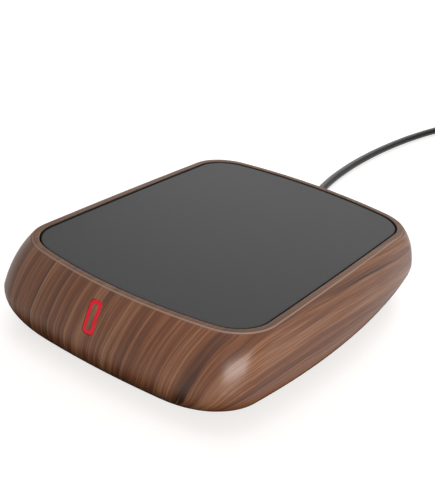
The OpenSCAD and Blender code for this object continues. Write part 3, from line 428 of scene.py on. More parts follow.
# Name, colour, roughness, then the texture's scale, grit, cloud and depth, the clear coat, and the edge
# wear with its colour. What a row leaves out is textured_material's own value.
TEXTURED = {
    "black_plastic": ("black moulded plastic", (0.018, 0.018, 0.02), 0.52, 1900, 0.35, 0.12, 0.00004, 0,
                      0.5, (0.07, 0.07, 0.075)),
    "rubber_black": ("black rubber", (0.012, 0.012, 0.012), 0.78, 1500, 0.4, 0.3, 0.00003),
    "brown_plastic": ("brown moulded plastic", (0.016, 0.011, 0.009), 0.6, 2200),
    "heater_mat": ("silicone mat", (0.36, 0.09, 0.04), 0.6, 900, 0.3, 0.2, 0.00005),
    "felt": ("ceramic felt", (0.62, 0.58, 0.50), 0.95, 1300, 0.7, 0.3, 0.0001),
    "glazed_white": ("glazed ceramic", (0.75, 0.75, 0.72), 0.2, 300, 0.05, 0.1, 0.00001, 0.8),
    "wire_red": ("red wire jacket", (0.42, 0.02, 0.015), 0.45, 2500, 0.15, 0.15),
    "wire_grey": ("grey wire jacket", (0.22, 0.22, 0.23), 0.45, 2500, 0.15, 0.15),
    "wire_blue": ("blue wire jacket", (0.03, 0.08, 0.34), 0.45, 2500, 0.15, 0.15),
    "wire_brown": ("brown wire jacket", (0.12, 0.045, 0.02), 0.45, 2500, 0.15, 0.15),
    "board_green": ("solder resist", (0.012, 0.10, 0.035), 0.3, 700, 0.35, 0.2, 0.00002, 0.6),
    "ivory_plastic": ("ivory plastic", (0.62, 0.57, 0.44), 0.45, 2200, 0.1, 0.08),
    "lamp_resin": ("lamp resin", (0.75, 0.62, 0.58), 0.12, 600, 0.05, 0.1, 0.00001, 1),
    "red_button": ("red button", (0.45, 0.02, 0.02), 0.35, 2200, 0.1, 0.1),
    "blue_case": ("blue relay case", (0.015, 0.07, 0.34), 0.32, 1400, 0.15, 0.1),
    "yellow_case": ("yellow capacitor case", (0.62, 0.40, 0.04), 0.35, 1400, 0.15, 0.1),
    "black_sleeve": ("capacitor sleeve", (0.015, 0.015, 0.03), 0.25, 900, 0.1, 0.1, 0.00002, 0.5),
    "green_block": ("green terminal block", (0.02, 0.20, 0.09), 0.42, 1700, 0.15, 0.1),
    "strap": ("woven strap", (0.022, 0.022, 0.024), 0.85, 700, 0.6, 0.2, 0.00012),
    "plug_plastic": ("moulded plug", (0.012, 0.012, 0.013), 0.42, 1900, 0.3, 0.2, 0.00003),
}
# Name, colour, roughness and the colour of its stains
METALS = {
    "zinc_steel": ("zinc-plated steel", (0.60, 0.60, 0.58), 0.24, (0.3, 0.28, 0.25)),
    "sheet_steel": ("galvanised sheet", (0.52, 0.53, 0.54), 0.34, (0.36, 0.37, 0.39)),
    "brass_cup": ("brass", (0.62, 0.42, 0.16), 0.25, (0.35, 0.2, 0.08)),
    "spring_steel": ("spring steel", (0.44, 0.44, 0.45), 0.22, (0.2, 0.18, 0.16)),
    "nickel_blade": ("nickel-plated blade", (0.70, 0.67, 0.62), 0.14, (0.5, 0.45, 0.38)),
}
FINISHES = {}


def finish(slot):
    """The one material of a finish that CAD nodes and new pieces share"""
    if slot not in FINISHES:
        if slot in TEXTURED:
            FINISHES[slot] = textured_material(*TEXTURED[slot])
        elif slot in METALS:
            FINISHES[slot] = metal_material(*METALS[slot])
        else:
            FINISHES[slot] = {"coated_aluminium": plate_material, "cord_jacket": cord_material}[slot]()
    return FINISHES[slot]


# ---- shape helpers -----------------------------------------------------------------

def add_object(name, data):
    obj = bpy.data.objects.new(name, data)
    bpy.context.scene.collection.objects.link(obj)
    return obj


def mesh_object(name, bm, material):
    """Turns a bmesh into an object with one material"""
    mesh = bpy.data.meshes.new(name)
    bm.to_mesh(mesh)
    bm.free()
    mesh.materials.append(material)
    return add_object(name, mesh)


def piece(name, bm, material, body, slot, *nodes, smooth=35.0):
    """Turns a bmesh into a named piece that rides on a body, if one is given, and stands for CAD nodes"""
    obj = mesh_object(name, bm, material)
    shade(obj.data, smooth)
    if body:
        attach(obj, body)
    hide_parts(*nodes)
    return obj


def shade(mesh, angle):
    """Smooth shading, with edges sharper than the angle kept crisp"""
    mesh.shade_smooth()
    mesh.set_sharp_from_angle(angle=math.radians(angle))


def copy_of(node):
    """A merged copy of a CAD node's mesh as a bmesh"""
    bm = bmesh.new()
    bm.from_mesh(NODES[node].data)
    bmesh.ops.remove_doubles(bm, verts=bm.verts, dist=1e-6)
    bmesh.ops.dissolve_limit(bm, angle_limit=math.radians(0.5), verts=bm.verts, edges=bm.edges)
    return bm


def soften(obj, width, segments=2):
    """Rounds the sharp edges of a finished piece"""
    bevel = obj.modifiers.new("edges", "BEVEL")
    bevel.width = width
    bevel.segments = segments
    bevel.limit_method = "ANGLE"
    bevel.angle_limit = math.radians(40.0)
    bevel.harden_normals = True


def new_verts(out):
    return [g for g in out["geom"] if isinstance(g, bmesh.types.BMVert)]


def new_edges(out):
    return [g for g in out["geom"] if isinstance(g, bmesh.types.BMEdge)]


def face_out(bm):
    bmesh.ops.recalc_face_normals(bm, faces=bm.faces)


def raise_faces(bm, faces, height):
    """Extrudes flat faces straight up"""
    verts = new_verts(bmesh.ops.extrude_face_region(bm, geom=faces))
    bmesh.ops.translate(bm, verts=verts, vec=(0, 0, height))


def in_order(verts):
    """Verts of a ring around Z by their turn, from +X"""
    return sorted(verts, key=lambda v: math.atan2(v.co.y, v.co.x) % (2 * math.pi))


def next_ring(bm, ring, edges):
    """Extrudes a ring of edges. Gives the new ring in the old one's order, and its edges."""
    out = bmesh.ops.extrude_edge_only(bm, edges=edges)
    below = {v: i for i, v in enumerate(ring)}
    ordered = [None] * len(ring)
    for v in new_verts(out):
        for e in v.link_edges:
            if e.other_vert(v) in below:
                ordered[below[e.other_vert(v)]] = v
    return ordered, new_edges(out)


def four_ways(x, y):
    """The places of four like things, one in each quarter"""
    return [(sx * x * MM, sy * y * MM) for sx in (-1, 1) for sy in (-1, 1)]


class Outline:
    """A rounded outline: bowed sides, bowed ends and round corners, all tangent"""

    def __init__(self, a, b, side, end, corner):
        self.a, self.b, self.side, self.end, self.corner = a, b, side, end, corner
        self.side_c = Vector((a - side, 0))
        self.end_c = Vector((0, b - end))

    def inset(self, d):
        return Outline(self.a - d, self.b - d, self.side - d, self.end - d, max(self.corner - d, MM))

    def corner_frame(self):
        """The turn at which the corner's arc starts and ends, and its centre"""
        gap = self.end_c - self.side_c
        span = gap.length
        d1, d2 = self.side - self.corner, self.end - self.corner
        along = (d1 * d1 - d2 * d2 + span * span) / (2 * span)
        up = math.sqrt(d1 * d1 - along * along)
        c = self.side_c + gap * (along / span) + Vector((-gap.y, gap.x)) * (up / span)
        return math.atan2(c.y, c.x - self.side_c.x), math.atan2(c.y - self.end_c.y, c.x), c

    def points(self, per_quarter):
        """Points around the outline, closer together at the corners"""
        t0, t1, c = self.corner_frame()
        n_side, n_corner = per_quarter // 4, per_quarter // 2
        quarter = []
        for centre, radius, start, stop, n in (
                (self.side_c, self.side, 0, t0, n_side), (c, self.corner, t0, t1, n_corner),
                (self.end_c, self.end, t1, math.pi / 2, per_quarter - n_side - n_corner)):
            for i in range(n):
                t = start + (stop - start) * i / n
                quarter.append(centre + radius * Vector((math.cos(t), math.sin(t))))
        left = [Vector((-p.x, p.y)) for p in reversed(quarter)]
        upper = quarter + [Vector((0, self.b))] + left
        return upper + [Vector((-p.x, -p.y)) for p in upper[1:-1]]


class Housing:
    """The housing's outer skin as a formula: its outline at every height"""
    FACE_BULGE = 0.45

    def __init__(self, s):
        self.s = s
        self.half_w, self.half_d = s.width / 2, s.depth / 2
        self.wide = self.bowed(self.half_w, self.half_d, *WIDE_BOWS)
        self.rim_a, self.rim_b = self.half_w - s.top_inset, self.half_d - s.top_inset
        self.rim = self.bowed(self.rim_a, self.rim_b, *RIM_BOWS)
        self.low = Vector((0, s.widest))
        self.high = Vector((s.top_inset, s.height))
        pull = Vector((0, s.widest + 0.75 * (s.height - s.widest)))
        self.pull = ((self.low + self.high) / 2).lerp(pull, self.FACE_BULGE)

    @staticmethod
    def bowed(a, b, side_bow, end_bow, corner):
        side = (b * b + side_bow * side_bow) / (2 * side_bow)
        end = (a * a + end_bow * end_bow) / (2 * end_bow)
        return Outline(a, b, side, end, corner)

    def slope(self, t):
        return (1 - t) ** 2 * self.low + 2 * t * (1 - t) * self.pull + t * t * self.high

    def slope_t(self, z):
        a = self.low.y - 2 * self.pull.y + self.high.y
        b = 2 * (self.pull.y - self.low.y)
        c = self.low.y - z
        if abs(a) < 1e-9:
            return -c / b
        return (-b + math.sqrt(b * b - 4 * a * c)) / (2 * a)

    def tucked(self, z, tuck):
        s = (self.s.widest - z) / self.s.widest
        return tuck * (1 - math.sqrt(1 - s * s))

    def inset_at(self, z):
        if z >= self.s.widest:
            return self.slope(self.slope_t(z)).x
        return self.tucked(z, self.s.side_tuck)

    def outline(self, z, d=0.0):
        inset = self.inset_at(z)
        if z < self.s.widest:
            end = self.tucked(z, self.s.end_tuck)
            corner = self.wide.corner + (self.s.low_corner - self.wide.corner) * inset / self.s.side_tuck
            shape = Outline(self.half_w - inset, self.half_d - end, self.wide.side - inset,
                            self.wide.end - end, corner)
            return shape.inset(d)
        k = inset / self.s.top_inset

        def turn(p, q):
            return 1 / ((1 - k) / p + k / q)
        shape = Outline(self.half_w - inset, self.half_d - inset, turn(self.wide.side, self.rim.side),
                        turn(self.wide.end, self.rim.end),
                        self.wide.corner + k * (self.rim.corner - self.wide.corner))
        return shape.inset(d)


PER_QUARTER = 44


def loft(bm, levels):
    """Extrudes a circle level by level and sets each level on its outline. Levels are (outline, z)."""
    rings = []
    for shape, z in levels:
        points = shape.points(PER_QUARTER)
        if rings:
            ring, edges = next_ring(bm, rings[-1], edges)
        else:
            made = bmesh.ops.create_circle(bm, segments=len(points), radius=1.0)
            ring, edges = in_order(made["verts"]), list(bm.edges)
        for v, p in zip(ring, points):
            v.co = (p.x, p.y, z)
        rings.append(ring)
    return rings


def rounded_bar(bm, width, size, corner, z=0.0, fill=True, segments=8):
    """A flat bar with round corners, made from a circle whose quarters are pulled apart"""
    made = bmesh.ops.create_circle(bm, cap_ends=fill, segments=4 * segments, radius=corner)
    verts = in_order(made["verts"])
    for i, v in enumerate(verts):
        quarter, step = divmod(i, segments)
        turn = math.pi / 2 * (quarter + step / (segments - 1))
        right, far = quarter in (0, 3), quarter < 2
        v.co = (corner * math.cos(turn) + (1 if right else -1) * (width / 2 - corner),
                corner * math.sin(turn) + (1 if far else -1) * (size / 2 - corner), z)
    return list({f for v in verts for f in v.link_faces})


# ---- the housing and its grain -----------------------------------------------------

def profile_down(housing, steps=60):
    """Table of (height, distance down the slope from the rim's outer edge)"""
    s = housing.s
    table = [(s.height, 0.0)]
    last = Vector((housing.inset_at(s.height), s.height))
    for i in range(1, steps + 1):
        z = s.height + (s.ground_gap - s.height) * i / steps
        here = Vector((housing.inset_at(z), z))
        table.append((z, table[-1][1] + (here - last).length))
        last = here
    return table


def down_at(table, z):
    for (z0, d0), (z1, d1) in zip(table, table[1:]):
        if z >= z1:
            return d0 + (d1 - d0) * (z0 - z) / (z0 - z1)
    return table[-1][1]


def plan_normal(shape, x, y):
    """Direction straight out of an outline near a point, in plan"""
    ax, ay = abs(x), abs(y)
    t0, t1, c = shape.corner_frame()
    angle = math.atan2(ay - c.y, ax - c.x)
    if angle < t0 or angle > math.pi:
        n = Vector((ax - (shape.a - shape.side), ay))
    elif angle > t1:
        n = Vector((ax, ay - (shape.b - shape.end)))
    else:
        n = Vector((math.cos(angle), math.sin(angle)))
    n.normalize()
    return Vector((math.copysign(n.x, x), math.copysign(n.y, y)))


def lay_grain(mesh, housing):
    """Stores where each point would lie if the slope were folded out flat, so the grain runs on over
    the corners: up the front's slope, leaning a little to the right, and along the long sides. Its
    third number is 1 on the rim's flat top, 2 on the rounded edge outside it and 0 elsewhere."""
    table = profile_down(housing)
    s = housing.s
    shapes = {}
    layer = mesh.attributes.new("grain", "FLOAT_VECTOR", "POINT")
    for i, v in enumerate(mesh.vertices):
        x, y, z = v.co
        key = round(z, 6)
        if key not in shapes:
            shapes[key] = housing.outline(min(max(z, s.ground_gap), s.height - 1e-6))
        n = plan_normal(shapes[key], x, y)
        inward = s.top_inset - housing.inset_at(min(max(z, s.ground_gap), s.height))
        out = down_at(table, z) - inward
        x, y = x + n.x * out, y + n.y * out
        lean = GRAIN_LEAN * max(0.0, -(housing.rim_b - LEAN_FROM) - y)
        # Spots 1 and 2 mark where the wood material paints a sheen on the rim's flat top and a highlight on
        # its rounded edge
        spot = 1.0 if z > s.height - 1e-5 else 2.0 if z > s.height - 0.4 * MM else 0.0
        layer.data[i].vector = (x + lean, y, spot)


def key_frame(housing):
    """Frame of the key: its origin on the front's face, Z straight out and Y up the slope"""
    t = housing.slope_t(KEY_HEIGHT)
    d = 2 * (1 - t) * (housing.pull - housing.low) + 2 * t * (housing.high - housing.pull)
    turn = 2 * (housing.low - 2 * housing.pull + housing.high)
    radius = d.length ** 3 / abs(d.x * turn.y - d.y * turn.x)
    tilt = math.atan2(d.x, d.y)
    at = Matrix.Translation((KEY_X, -(housing.half_d - housing.inset_at(KEY_HEIGHT)), KEY_HEIGHT))
    return at @ Matrix.Rotation(math.pi / 2 - tilt, 4, "X"), radius


def cut_away(obj, cutter):
    """Cuts one shape out of a piece and removes the cutter"""
    boolean = obj.modifiers.new("cut", "BOOLEAN")
    boolean.operation = "DIFFERENCE"
    boolean.solver = "EXACT"
    boolean.object = cutter
    bpy.context.view_layer.update()
    depsgraph = bpy.context.evaluated_depsgraph_get()
    mesh = bpy.data.meshes.new_from_object(obj.evaluated_get(depsgraph))
    old = obj.data
    obj.modifiers.remove(boolean)
    obj.data = mesh
    mesh.name = obj.name
    bpy.data.meshes.remove(old)
    spare = cutter.data
    bpy.data.objects.remove(cutter)
    bpy.data.meshes.remove(spare)


def rounded_edge(shape, inset, top, radius, steps):
    """Levels that round the outer edge of a flat top"""
    turns = [math.pi / 2 * i / steps for i in range(1, steps + 1)]
    return [(shape.inset(inset + radius * (1 - math.cos(a))), top - radius * (1 - math.sin(a)))
            for a in turns]


def housing_levels(housing):
    """Levels of the housing's wall: up the outside, over the rim, down the lip around the plate and down
    the inside. Also gives the number of levels that lie outside."""
    s, rim, top = housing.s, housing.rim, housing.s.height
    tuck = [s.widest - (s.widest - s.ground_gap) * math.sin(math.pi / 2 * (1 - i / 12)) for i in range(13)]
    slope = [housing.slope(i / 34).y for i in range(1, 35)]
    outside = tuck + [z for z in slope if z < top - RIM_ROUND - 0.25 * MM]
    levels = [(housing.outline(z), z) for z in outside + [top - RIM_ROUND]]
    levels += rounded_edge(rim, 0, top, RIM_ROUND, 4)
    flat = s.rim - 0.2 * MM
    levels += [(rim.inset(d), top) for d in (RIM_ROUND + 0.35 * MM, flat - 0.35 * MM, flat)]
    shown = len(levels)
    levels += [(rim.inset(s.rim - 0.06 * MM), top - 0.06 * MM), (rim.inset(s.rim), top - 0.2 * MM),
               (rim.inset(s.rim), top - 0.6 * MM), (rim.inset(s.rim), LIP_LOW)]
    roof = top - ROOF_THICK
    levels += [(rim.inset(s.rim - LIP_THICK), z) for z in (LIP_LOW, roof)]
    levels += [(housing.outline(z, s.wall), z) for z in reversed(outside) if z < roof - 0.6 * MM]
    return levels, shown


def key_slot(housing):
    """Cutter for the slot that the key sits in"""
    s, gap = housing.s, SLOT_GAP
    bm = bmesh.new()
    bar = rounded_bar(bm, s.key_width + 2 * gap, s.key_length + 2 * gap, s.key_corner + gap, -6 * MM)
    raise_faces(bm, bar, 12 * MM)
    bmesh.ops.transform(bm, matrix=key_frame(housing)[0], verts=bm.verts)
    face_out(bm)
    return mesh_object("key_slot", bm, finish("brown_plastic"))


def build_housing():
    housing = Housing(sizes())
    levels, shown = housing_levels(housing)
    bm = bmesh.new()
    rings = loft(bm, levels)
    ends = {e for ring in (rings[0], rings[-1]) for v in ring for e in v.link_edges
            if e.is_boundary and e.other_vert(v) in ring}
    bmesh.ops.bridge_loops(bm, edges=list(ends))
    hidden = {v for ring in [rings[0]] + rings[shown:] for v in ring}
    for face in bm.faces:
        if all(v in hidden for v in face.verts):
            face.material_index = INSIDE
    face_out(bm)
    obj = piece("housing", bm, wood_material("walnut finish", "grain"), "housing", "wood_finish_shell",
                "upper_shell", smooth=40.0)
    obj.data.materials.append(finish("brown_plastic"))
    cut_away(obj, key_slot(housing))
    add_bosses(obj, housing)
    shade(obj.data, 40.0)
    lay_grain(obj.data, housing)


def paint(verts, material):
    for face in {f for v in verts for f in v.link_faces}:
        face.material_index = material


def post(bm, x, y, low, high, radius, segments=24, material=0):
    """A round post or boss between two heights"""
    verts = bmesh.ops.create_cone(bm, cap_ends=True, segments=segments, radius1=radius, radius2=radius,
                                  depth=high - low)["verts"]
    bmesh.ops.translate(bm, verts=verts, vec=(x, y, (low + high) / 2))
    paint(verts, material)
    return verts


def block(bm, low, high, material):
    """A box between two corners"""
    verts = bmesh.ops.create_cube(bm, size=1.0)["verts"]
    bmesh.ops.scale(bm, verts=verts, vec=[b - a for a, b in zip(low, high)])
    bmesh.ops.translate(bm, verts=verts, vec=[(a + b) / 2 for a, b in zip(low, high)])
    paint(verts, material)


def cord_frame(y=0.0):
    """Frame with Z along the cord where it leaves the housing"""
    return Matrix.Translation((0, y * MM, CORD_HEIGHT * MM)) @ Matrix.Rotation(-math.pi / 2, 4, "X")


def add_bosses(obj, housing):
    """The housing's inner bosses: four for the case screws with their webs, two for the key's board
    and the gland's seat"""
    bm = bmesh.new()
    bm.from_mesh(obj.data)
    for x, y in four_ways(*CASE_SCREWS):
        post(bm, x, y, 5.4 * MM, 19 * MM, 3.4 * MM, material=INSIDE)
        x0, x1 = sorted((x, math.copysign(WEB_END * MM, x)))
        block(bm, (x0, y - MM, 6 * MM), (x1, y + MM, 18.4 * MM), INSIDE)
    for side in (-1, 1):
        verts = post(bm, side * 9.5 * MM, -3 * MM, -6.92 * MM, -1.6 * MM, 2.2 * MM, material=INSIDE)
        bmesh.ops.transform(bm, matrix=key_frame(housing)[0], verts=verts)
    verts = post(bm, 0, 0, 0, 6.54 * MM, 4.8 * MM, 48, INSIDE)
    verts += post(bm, 0, 0, 0, 3.31 * MM, 5.8 * MM, 48, INSIDE)
    bmesh.ops.transform(bm, matrix=cord_frame(GLAND_SEAT), verts=verts)
    bm.to_mesh(obj.data)
    bm.free()


# ---- key ---------------------------------------------------------------------------

def bend_along(bm, size, radius):
    """Cuts a flat face across its length and lays it on the front's curve"""
    for i in range(-6, 7):
        bmesh.ops.bisect_plane(bm, geom=list(bm.verts) + list(bm.edges) + list(bm.faces),
                               plane_co=(0, size / 2 * i / 7, 0), plane_no=(0, 1, 0), dist=1e-7)
    for v in bm.verts:
        v.co.z = math.sqrt(radius * radius - v.co.y * v.co.y) - radius


def drop(bm, edges, z):
    """Pulls a loop of edges straight down to a level and returns the new loop"""
    out = bmesh.ops.extrude_edge_only(bm, edges=edges)
    for v in new_verts(out):
        v.co.z = z
    return new_edges(out)


def ease_top(bm, offset, segments):
    """Rounds the sharp edges around a face that lies on the front"""
    edges = [e for e in bm.edges if len(e.link_faces) == 2 and e.calc_face_angle(0) > 0.9
             and min(v.co.z for v in e.verts) > -1.2 * MM]
    bmesh.ops.bevel(bm, geom=edges, offset=offset, segments=segments, profile=0.5, affect="EDGES",
                    material=-1, clamp_overlap=True)


def build_key():
    s = sizes()
    housing = Housing(s)
    frame, radius = key_frame(housing)
    light, inner_corner = s.light_width, 0.3 * MM
    # the lit body: a ring on the front's curve, its outer wall, a pocket for the inlay and a flange
    bm = bmesh.new()
    rounded_bar(bm, s.key_width, s.key_length, s.key_corner, fill=False)
    rounded_bar(bm, s.key_width - 2 * light, s.key_length - 2 * light, inner_corner, fill=False)
    bmesh.ops.bridge_loops(bm, edges=list(bm.edges))
    bend_along(bm, s.key_length, radius)
    border = [e for e in bm.edges if e.is_boundary]
    outer = [e for e in border if max(abs(e.verts[0].co.x + e.verts[1].co.x) - s.key_width,
                                      abs(e.verts[0].co.y + e.verts[1].co.y) - s.key_length) > -light]
    drop(bm, outer, -3.2 * MM)
    floor = drop(bm, [e for e in border if e not in outer], -1.4 * MM)
    bmesh.ops.edgeloop_fill(bm, edges=floor)
    face_out(bm)
    ease_top(bm, 0.16 * MM, 3)
    flange = rounded_bar(bm, s.key_width + 2.8 * MM, s.key_length + 1.4 * MM, s.key_corner, -3.92 * MM)
    raise_faces(bm, flange, 0.8 * MM)
    post(bm, 0, 0, -4.32 * MM, -3.9 * MM, 1.3 * MM)
    face_out(bm)
    bmesh.ops.transform(bm, matrix=frame, verts=bm.verts)
    piece("key_light", bm, light_material(), "key", "red_lens", "power_key", smooth=50.0)

    bm = bmesh.new()
    gap = light + 0.03 * MM
    rounded_bar(bm, s.key_width - 2 * gap, s.key_length - 2 * gap, inner_corner)
    bend_along(bm, s.key_length - 2 * gap, radius)
    floor = drop(bm, [e for e in bm.edges if e.is_boundary], -1.38 * MM)
    bmesh.ops.edgeloop_fill(bm, edges=floor)
    face_out(bm)
    ease_top(bm, 0.12 * MM, 2)
    bmesh.ops.transform(bm, matrix=frame, verts=bm.verts)
    obj = piece("key_inlay_wood", bm, bpy.data.materials["walnut finish"], "key", "wood_finish_shell",
                "key_inlay", smooth=50.0)
    lay_grain(obj.data, housing)


# ---- plate -------------------------------------------------------------------------

PLATE_POSTS = ((34, 34, 26.6), (21, 57, 26.4))


def build_plate():
    s = sizes()
    rim = Housing(s).rim
    top = s.height - s.plate_drop
    under, skirt = top - 2 * MM, top - 4.7 * MM
    edge, r = s.rim + s.plate_gap, 0.4 * MM
    side = [(1.6, under), (1.6, skirt + 0.2 * MM), (1.4, skirt), (0.2, skirt), (0, skirt + 0.2 * MM),
            (0, top - r - 0.3 * MM), (0, top - r)]
    levels = [(rim.inset(edge + d * MM), z) for d, z in side] + rounded_edge(rim, edge, top, r, 5)
    levels += [(rim.inset(d), top) for d in (edge + r + 0.5 * MM, edge + 8 * MM, edge + 25 * MM)]
    bm = bmesh.new()
    rings = loft(bm, levels)
    for ring in (rings[0], rings[-1]):
        bmesh.ops.contextual_create(bm, geom=ring)
    for across, along, low in PLATE_POSTS:
        for x, y in four_ways(across, along):
            post(bm, x, y, low * MM, under + 0.05 * MM, 3.2 * MM)
    face_out(bm)
    piece("plate", bm, finish("coated_aluminium"), "warming_plate", "coated_aluminium", "heating_plate",
          smooth=40.0)


# ---- cord, strain relief, tie and plug ---------------------------------------------

CORD_FROM = (0.0, RELIEF_END, CORD_HEIGHT)
CORD_ROUTE = [
    (0, 3, 10.9), (-0.7, 8, 10.4), (-2.6, 12.6, 9.6), (-5.6, 16.6, 8.4), (-9.6, 19.6, 7),
    (-14.2, 21.7, 5.6), (-18.7, 24, 4.3), (-22.6, 27.2, 3.3), (-25.7, 31.4, 2.6), (-27.8, 37, 2.3),
    (-29.3, 44, 2.2), (-30.8, 53, 2.2), (-32.2, 64, 2.2), (-33.3, 76, 2.2), (-34.2, 90, 2.2),
    (-34.6, 106, 2.2), (-34.5, 122, 2.2), (-33.8, 138, 2.2), (-32.6, 155, 2.2), (-30.7, 172, 2.2),
    (-28, 190, 2.2), (-24, 208, 2.2), (-17.5, 223, 2.3), (-9, 234, 2.4), (1, 240.5, 2.5),
    (12, 242.1, 2.6),
]
COIL_AT = (12.0, 319.08)
COIL_OUT, COIL_IN = 25.1, 20.9
COIL_LEVELS = (2.6, 6.8, 11.0, 15.2)
COIL_SLOTS = [(0, 0), (1, 0), (1, 1), (0, 1), (0, 2), (1, 2), (1, 3), (0, 3)]
COIL_TURNS = 7.25
STEPS_PER_TURN = 48
# Turns before the first move to the next slot, from move to move and in one move
FIRST_MOVE, NEXT_MOVE, MOVE = 0.55, 0.936, 0.3
TAIL_ROUTE = [
    (37.1, 0, 15.2), (37.3, -5, 14.9), (37.8, -10, 13.4), (38.4, -15, 10.9),
    (38.8, -20, 8.3), (39, -24.5, 6.8), (39, -28, 6.5),
]


def smooth_path(points, steps):
    """A smooth path through points, with a few steps between each two"""
    out = []
    for i in range(len(points) - 1):
        a, b = points[max(i - 1, 0)], points[i]
        c, d = points[i + 1], points[min(i + 2, len(points) - 1)]
        for k in range(steps):
            t = k / steps
            out.append(0.5 * (2 * b + (c - a) * t + (2 * a - 5 * b + 4 * c - d) * t * t
                              + (3 * b - a - 3 * c + d) * t * t * t))
    return out + [points[-1]]


def coil_slot(turn):
    """Radius and height of the coil's centreline at a turn. Each turn moves over to the next slot."""
    def spot(k):
        side, level = COIL_SLOTS[min(k, len(COIL_SLOTS) - 1)]
        return Vector((COIL_IN if side else COIL_OUT, COIL_LEVELS[level]))
    here = spot(0)
    for k in range(len(COIL_SLOTS) - 1):
        t = min(max((turn - FIRST_MOVE - NEXT_MOVE * k) / MOVE, 0.0), 1.0)
        t = t * t * (3 - 2 * t)
        here = here + (spot(k + 1) - spot(k)) * t
    return here


def cord_path():
    """The cord's centreline, in metres"""
    lead = [Vector(CORD_FROM)] + [Vector((x, y + CORD_FROM[1], z)) for x, y, z in CORD_ROUTE]
    path = smooth_path(lead, 6)
    for i in range(1, int(COIL_TURNS * STEPS_PER_TURN) + 1):
        turn = i / STEPS_PER_TURN
        radius, z = coil_slot(turn)
        angle = math.pi / 2 - 2 * math.pi * turn
        path.append(Vector((COIL_AT[0] + radius * math.cos(angle), COIL_AT[1] + radius * math.sin(angle), z)))
    tail = [Vector((x, y + COIL_AT[1], z)) for x, y, z in TAIL_ROUTE]
    path += smooth_path(tail, 6)[1:]
    return [p * MM for p in path]


def build_cord():
    path = cord_path()
    curve = bpy.data.curves.new("mains_cord", "CURVE")
    curve.dimensions = "3D"
    curve.bevel_depth = sizes().cord / 2
    curve.bevel_resolution = 4
    curve.use_fill_caps = True
    spline = curve.splines.new("POLY")
    spline.points.add(len(path) - 1)
    for point, at in zip(spline.points, path):
        point.co = (*at, 1.0)
    spline.use_smooth = True
    curve.materials.append(finish("cord_jacket"))
    obj = add_object("mains_cord", curve)
    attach(obj, "housing")
    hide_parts("cord_lead", "cord_coil", "cord_tail")
    return obj


# Points of a turned profile, in mm, that lie closer than this are one
SEAM_GAP = 1e-4


def spin_profile(bm, profile, matrix, steps):
    """Turns a profile of (radius, height) points around Z, closes its seams and puts it in place"""
    before = set(bm.verts)
    verts = [bm.verts.new((r, 0, h)) for r, h in profile]
    edges = [bm.edges.new(pair) for pair in zip(verts, verts[1:])]
    bmesh.ops.spin(bm, geom=verts + edges, cent=(0, 0, 0), axis=(0, 0, 1), dvec=(0, 0, 0),
                   angle=2 * math.pi, steps=steps, use_merge=True, use_duplicate=False)
    bmesh.ops.remove_doubles(bm, verts=[v for v in bm.verts if v not in before], dist=SEAM_GAP)
    grown = [v for v in bm.verts if v not in before]
    bmesh.ops.recalc_face_normals(bm, faces=[f for f in bm.faces if f.verts[0] not in before])
    bmesh.ops.transform(bm, matrix=matrix, verts=grown)


def build_strain_relief():
    """Gland behind the rear wall and a tapered boot with ribs that lets the cord bend gently"""
    bore, seat, boot, end = 2.15, GLAND_SEAT, 80.08, RELIEF_END
    profile = [(bore, seat - 2.6), (5.2, seat - 2.6), (5.4, seat - 2.4), (5.4, seat), (3.6, seat),
               (3.6, boot), (4.25, boot), (4.4, boot + 0.15), (4.4, boot + 1.5), (4.25, boot + 1.7)]
    ribs, thick, thin = 7, 4.0, 2.95
    first, last = boot + 2.4, end - 0.9
    pitch = (last - first) / ribs
    for i in range(ribs):
        y = first + pitch * i
        r = thick + (thin - thick) * (y - first) / (last - first)
        profile += [(r - 0.62, y - 0.25), (r - 0.62, y + 0.25), (r - 0.12, y + 0.45), (r, y + 0.65),
                    (r - 0.04, y + pitch - 0.75), (r - 0.16, y + pitch - 0.5)]
    profile += [(2.72, end - 0.5), (2.8, end - 0.25), (2.7, end), (bore, end), (bore, seat - 2.6)]
    bm = bmesh.new()
    spin_profile(bm, profile, cord_frame() @ Matrix.Scale(MM, 4), 36)
    return piece("cord_boot", bm, finish("rubber_black"), "housing", "cord_jacket", "strain_relief",
                 smooth=38.0)


def build_tie():
    """Strap around one side of the coil"""
    half_y, half_z, corner, width = 4.6 * MM, 8.42 * MM, 1.2 * MM, 9 * MM
    bm = bmesh.new()
    bmesh.ops.create_circle(bm, segments=32, radius=corner)
    for v in bm.verts:
        sy, sz = math.copysign(1, v.co.x + 1e-9), math.copysign(1, v.co.y + 1e-9)
        v.co = (-width / 2, v.co.x + sy * (half_y - corner), v.co.y + sz * (half_z - corner))
    out = bmesh.ops.extrude_edge_only(bm, edges=list(bm.edges))
    bmesh.ops.translate(bm, verts=new_verts(out), vec=(width, 0, 0))
    face_out(bm)
    bmesh.ops.translate(bm, verts=bm.verts, vec=(COIL_AT[0] * MM, (COIL_AT[1] - 22.8) * MM, 8.9 * MM))
    bmesh.ops.solidify(bm, geom=list(bm.faces), thickness=-0.45 * MM)
    obj = piece("coil_strap", bm, finish("strap"), "housing", "black_plastic", "coil_tie", smooth=45.0)
    soften(obj, 0.12 * MM)
    return obj


def eased_copy(name, node, slot, width, segments=2):
    """A CAD node's own shape as a piece with its edges eased"""
    obj = piece(name, copy_of(node), finish(slot), "housing", slot, node, smooth=30.0)
    soften(obj, width, segments)
    return obj


PLUG_AT = (39.0, 6.5)
PLUG_BACK = 291.08
PLUG_LENGTH = 42
PLUG_SEGMENTS = 48


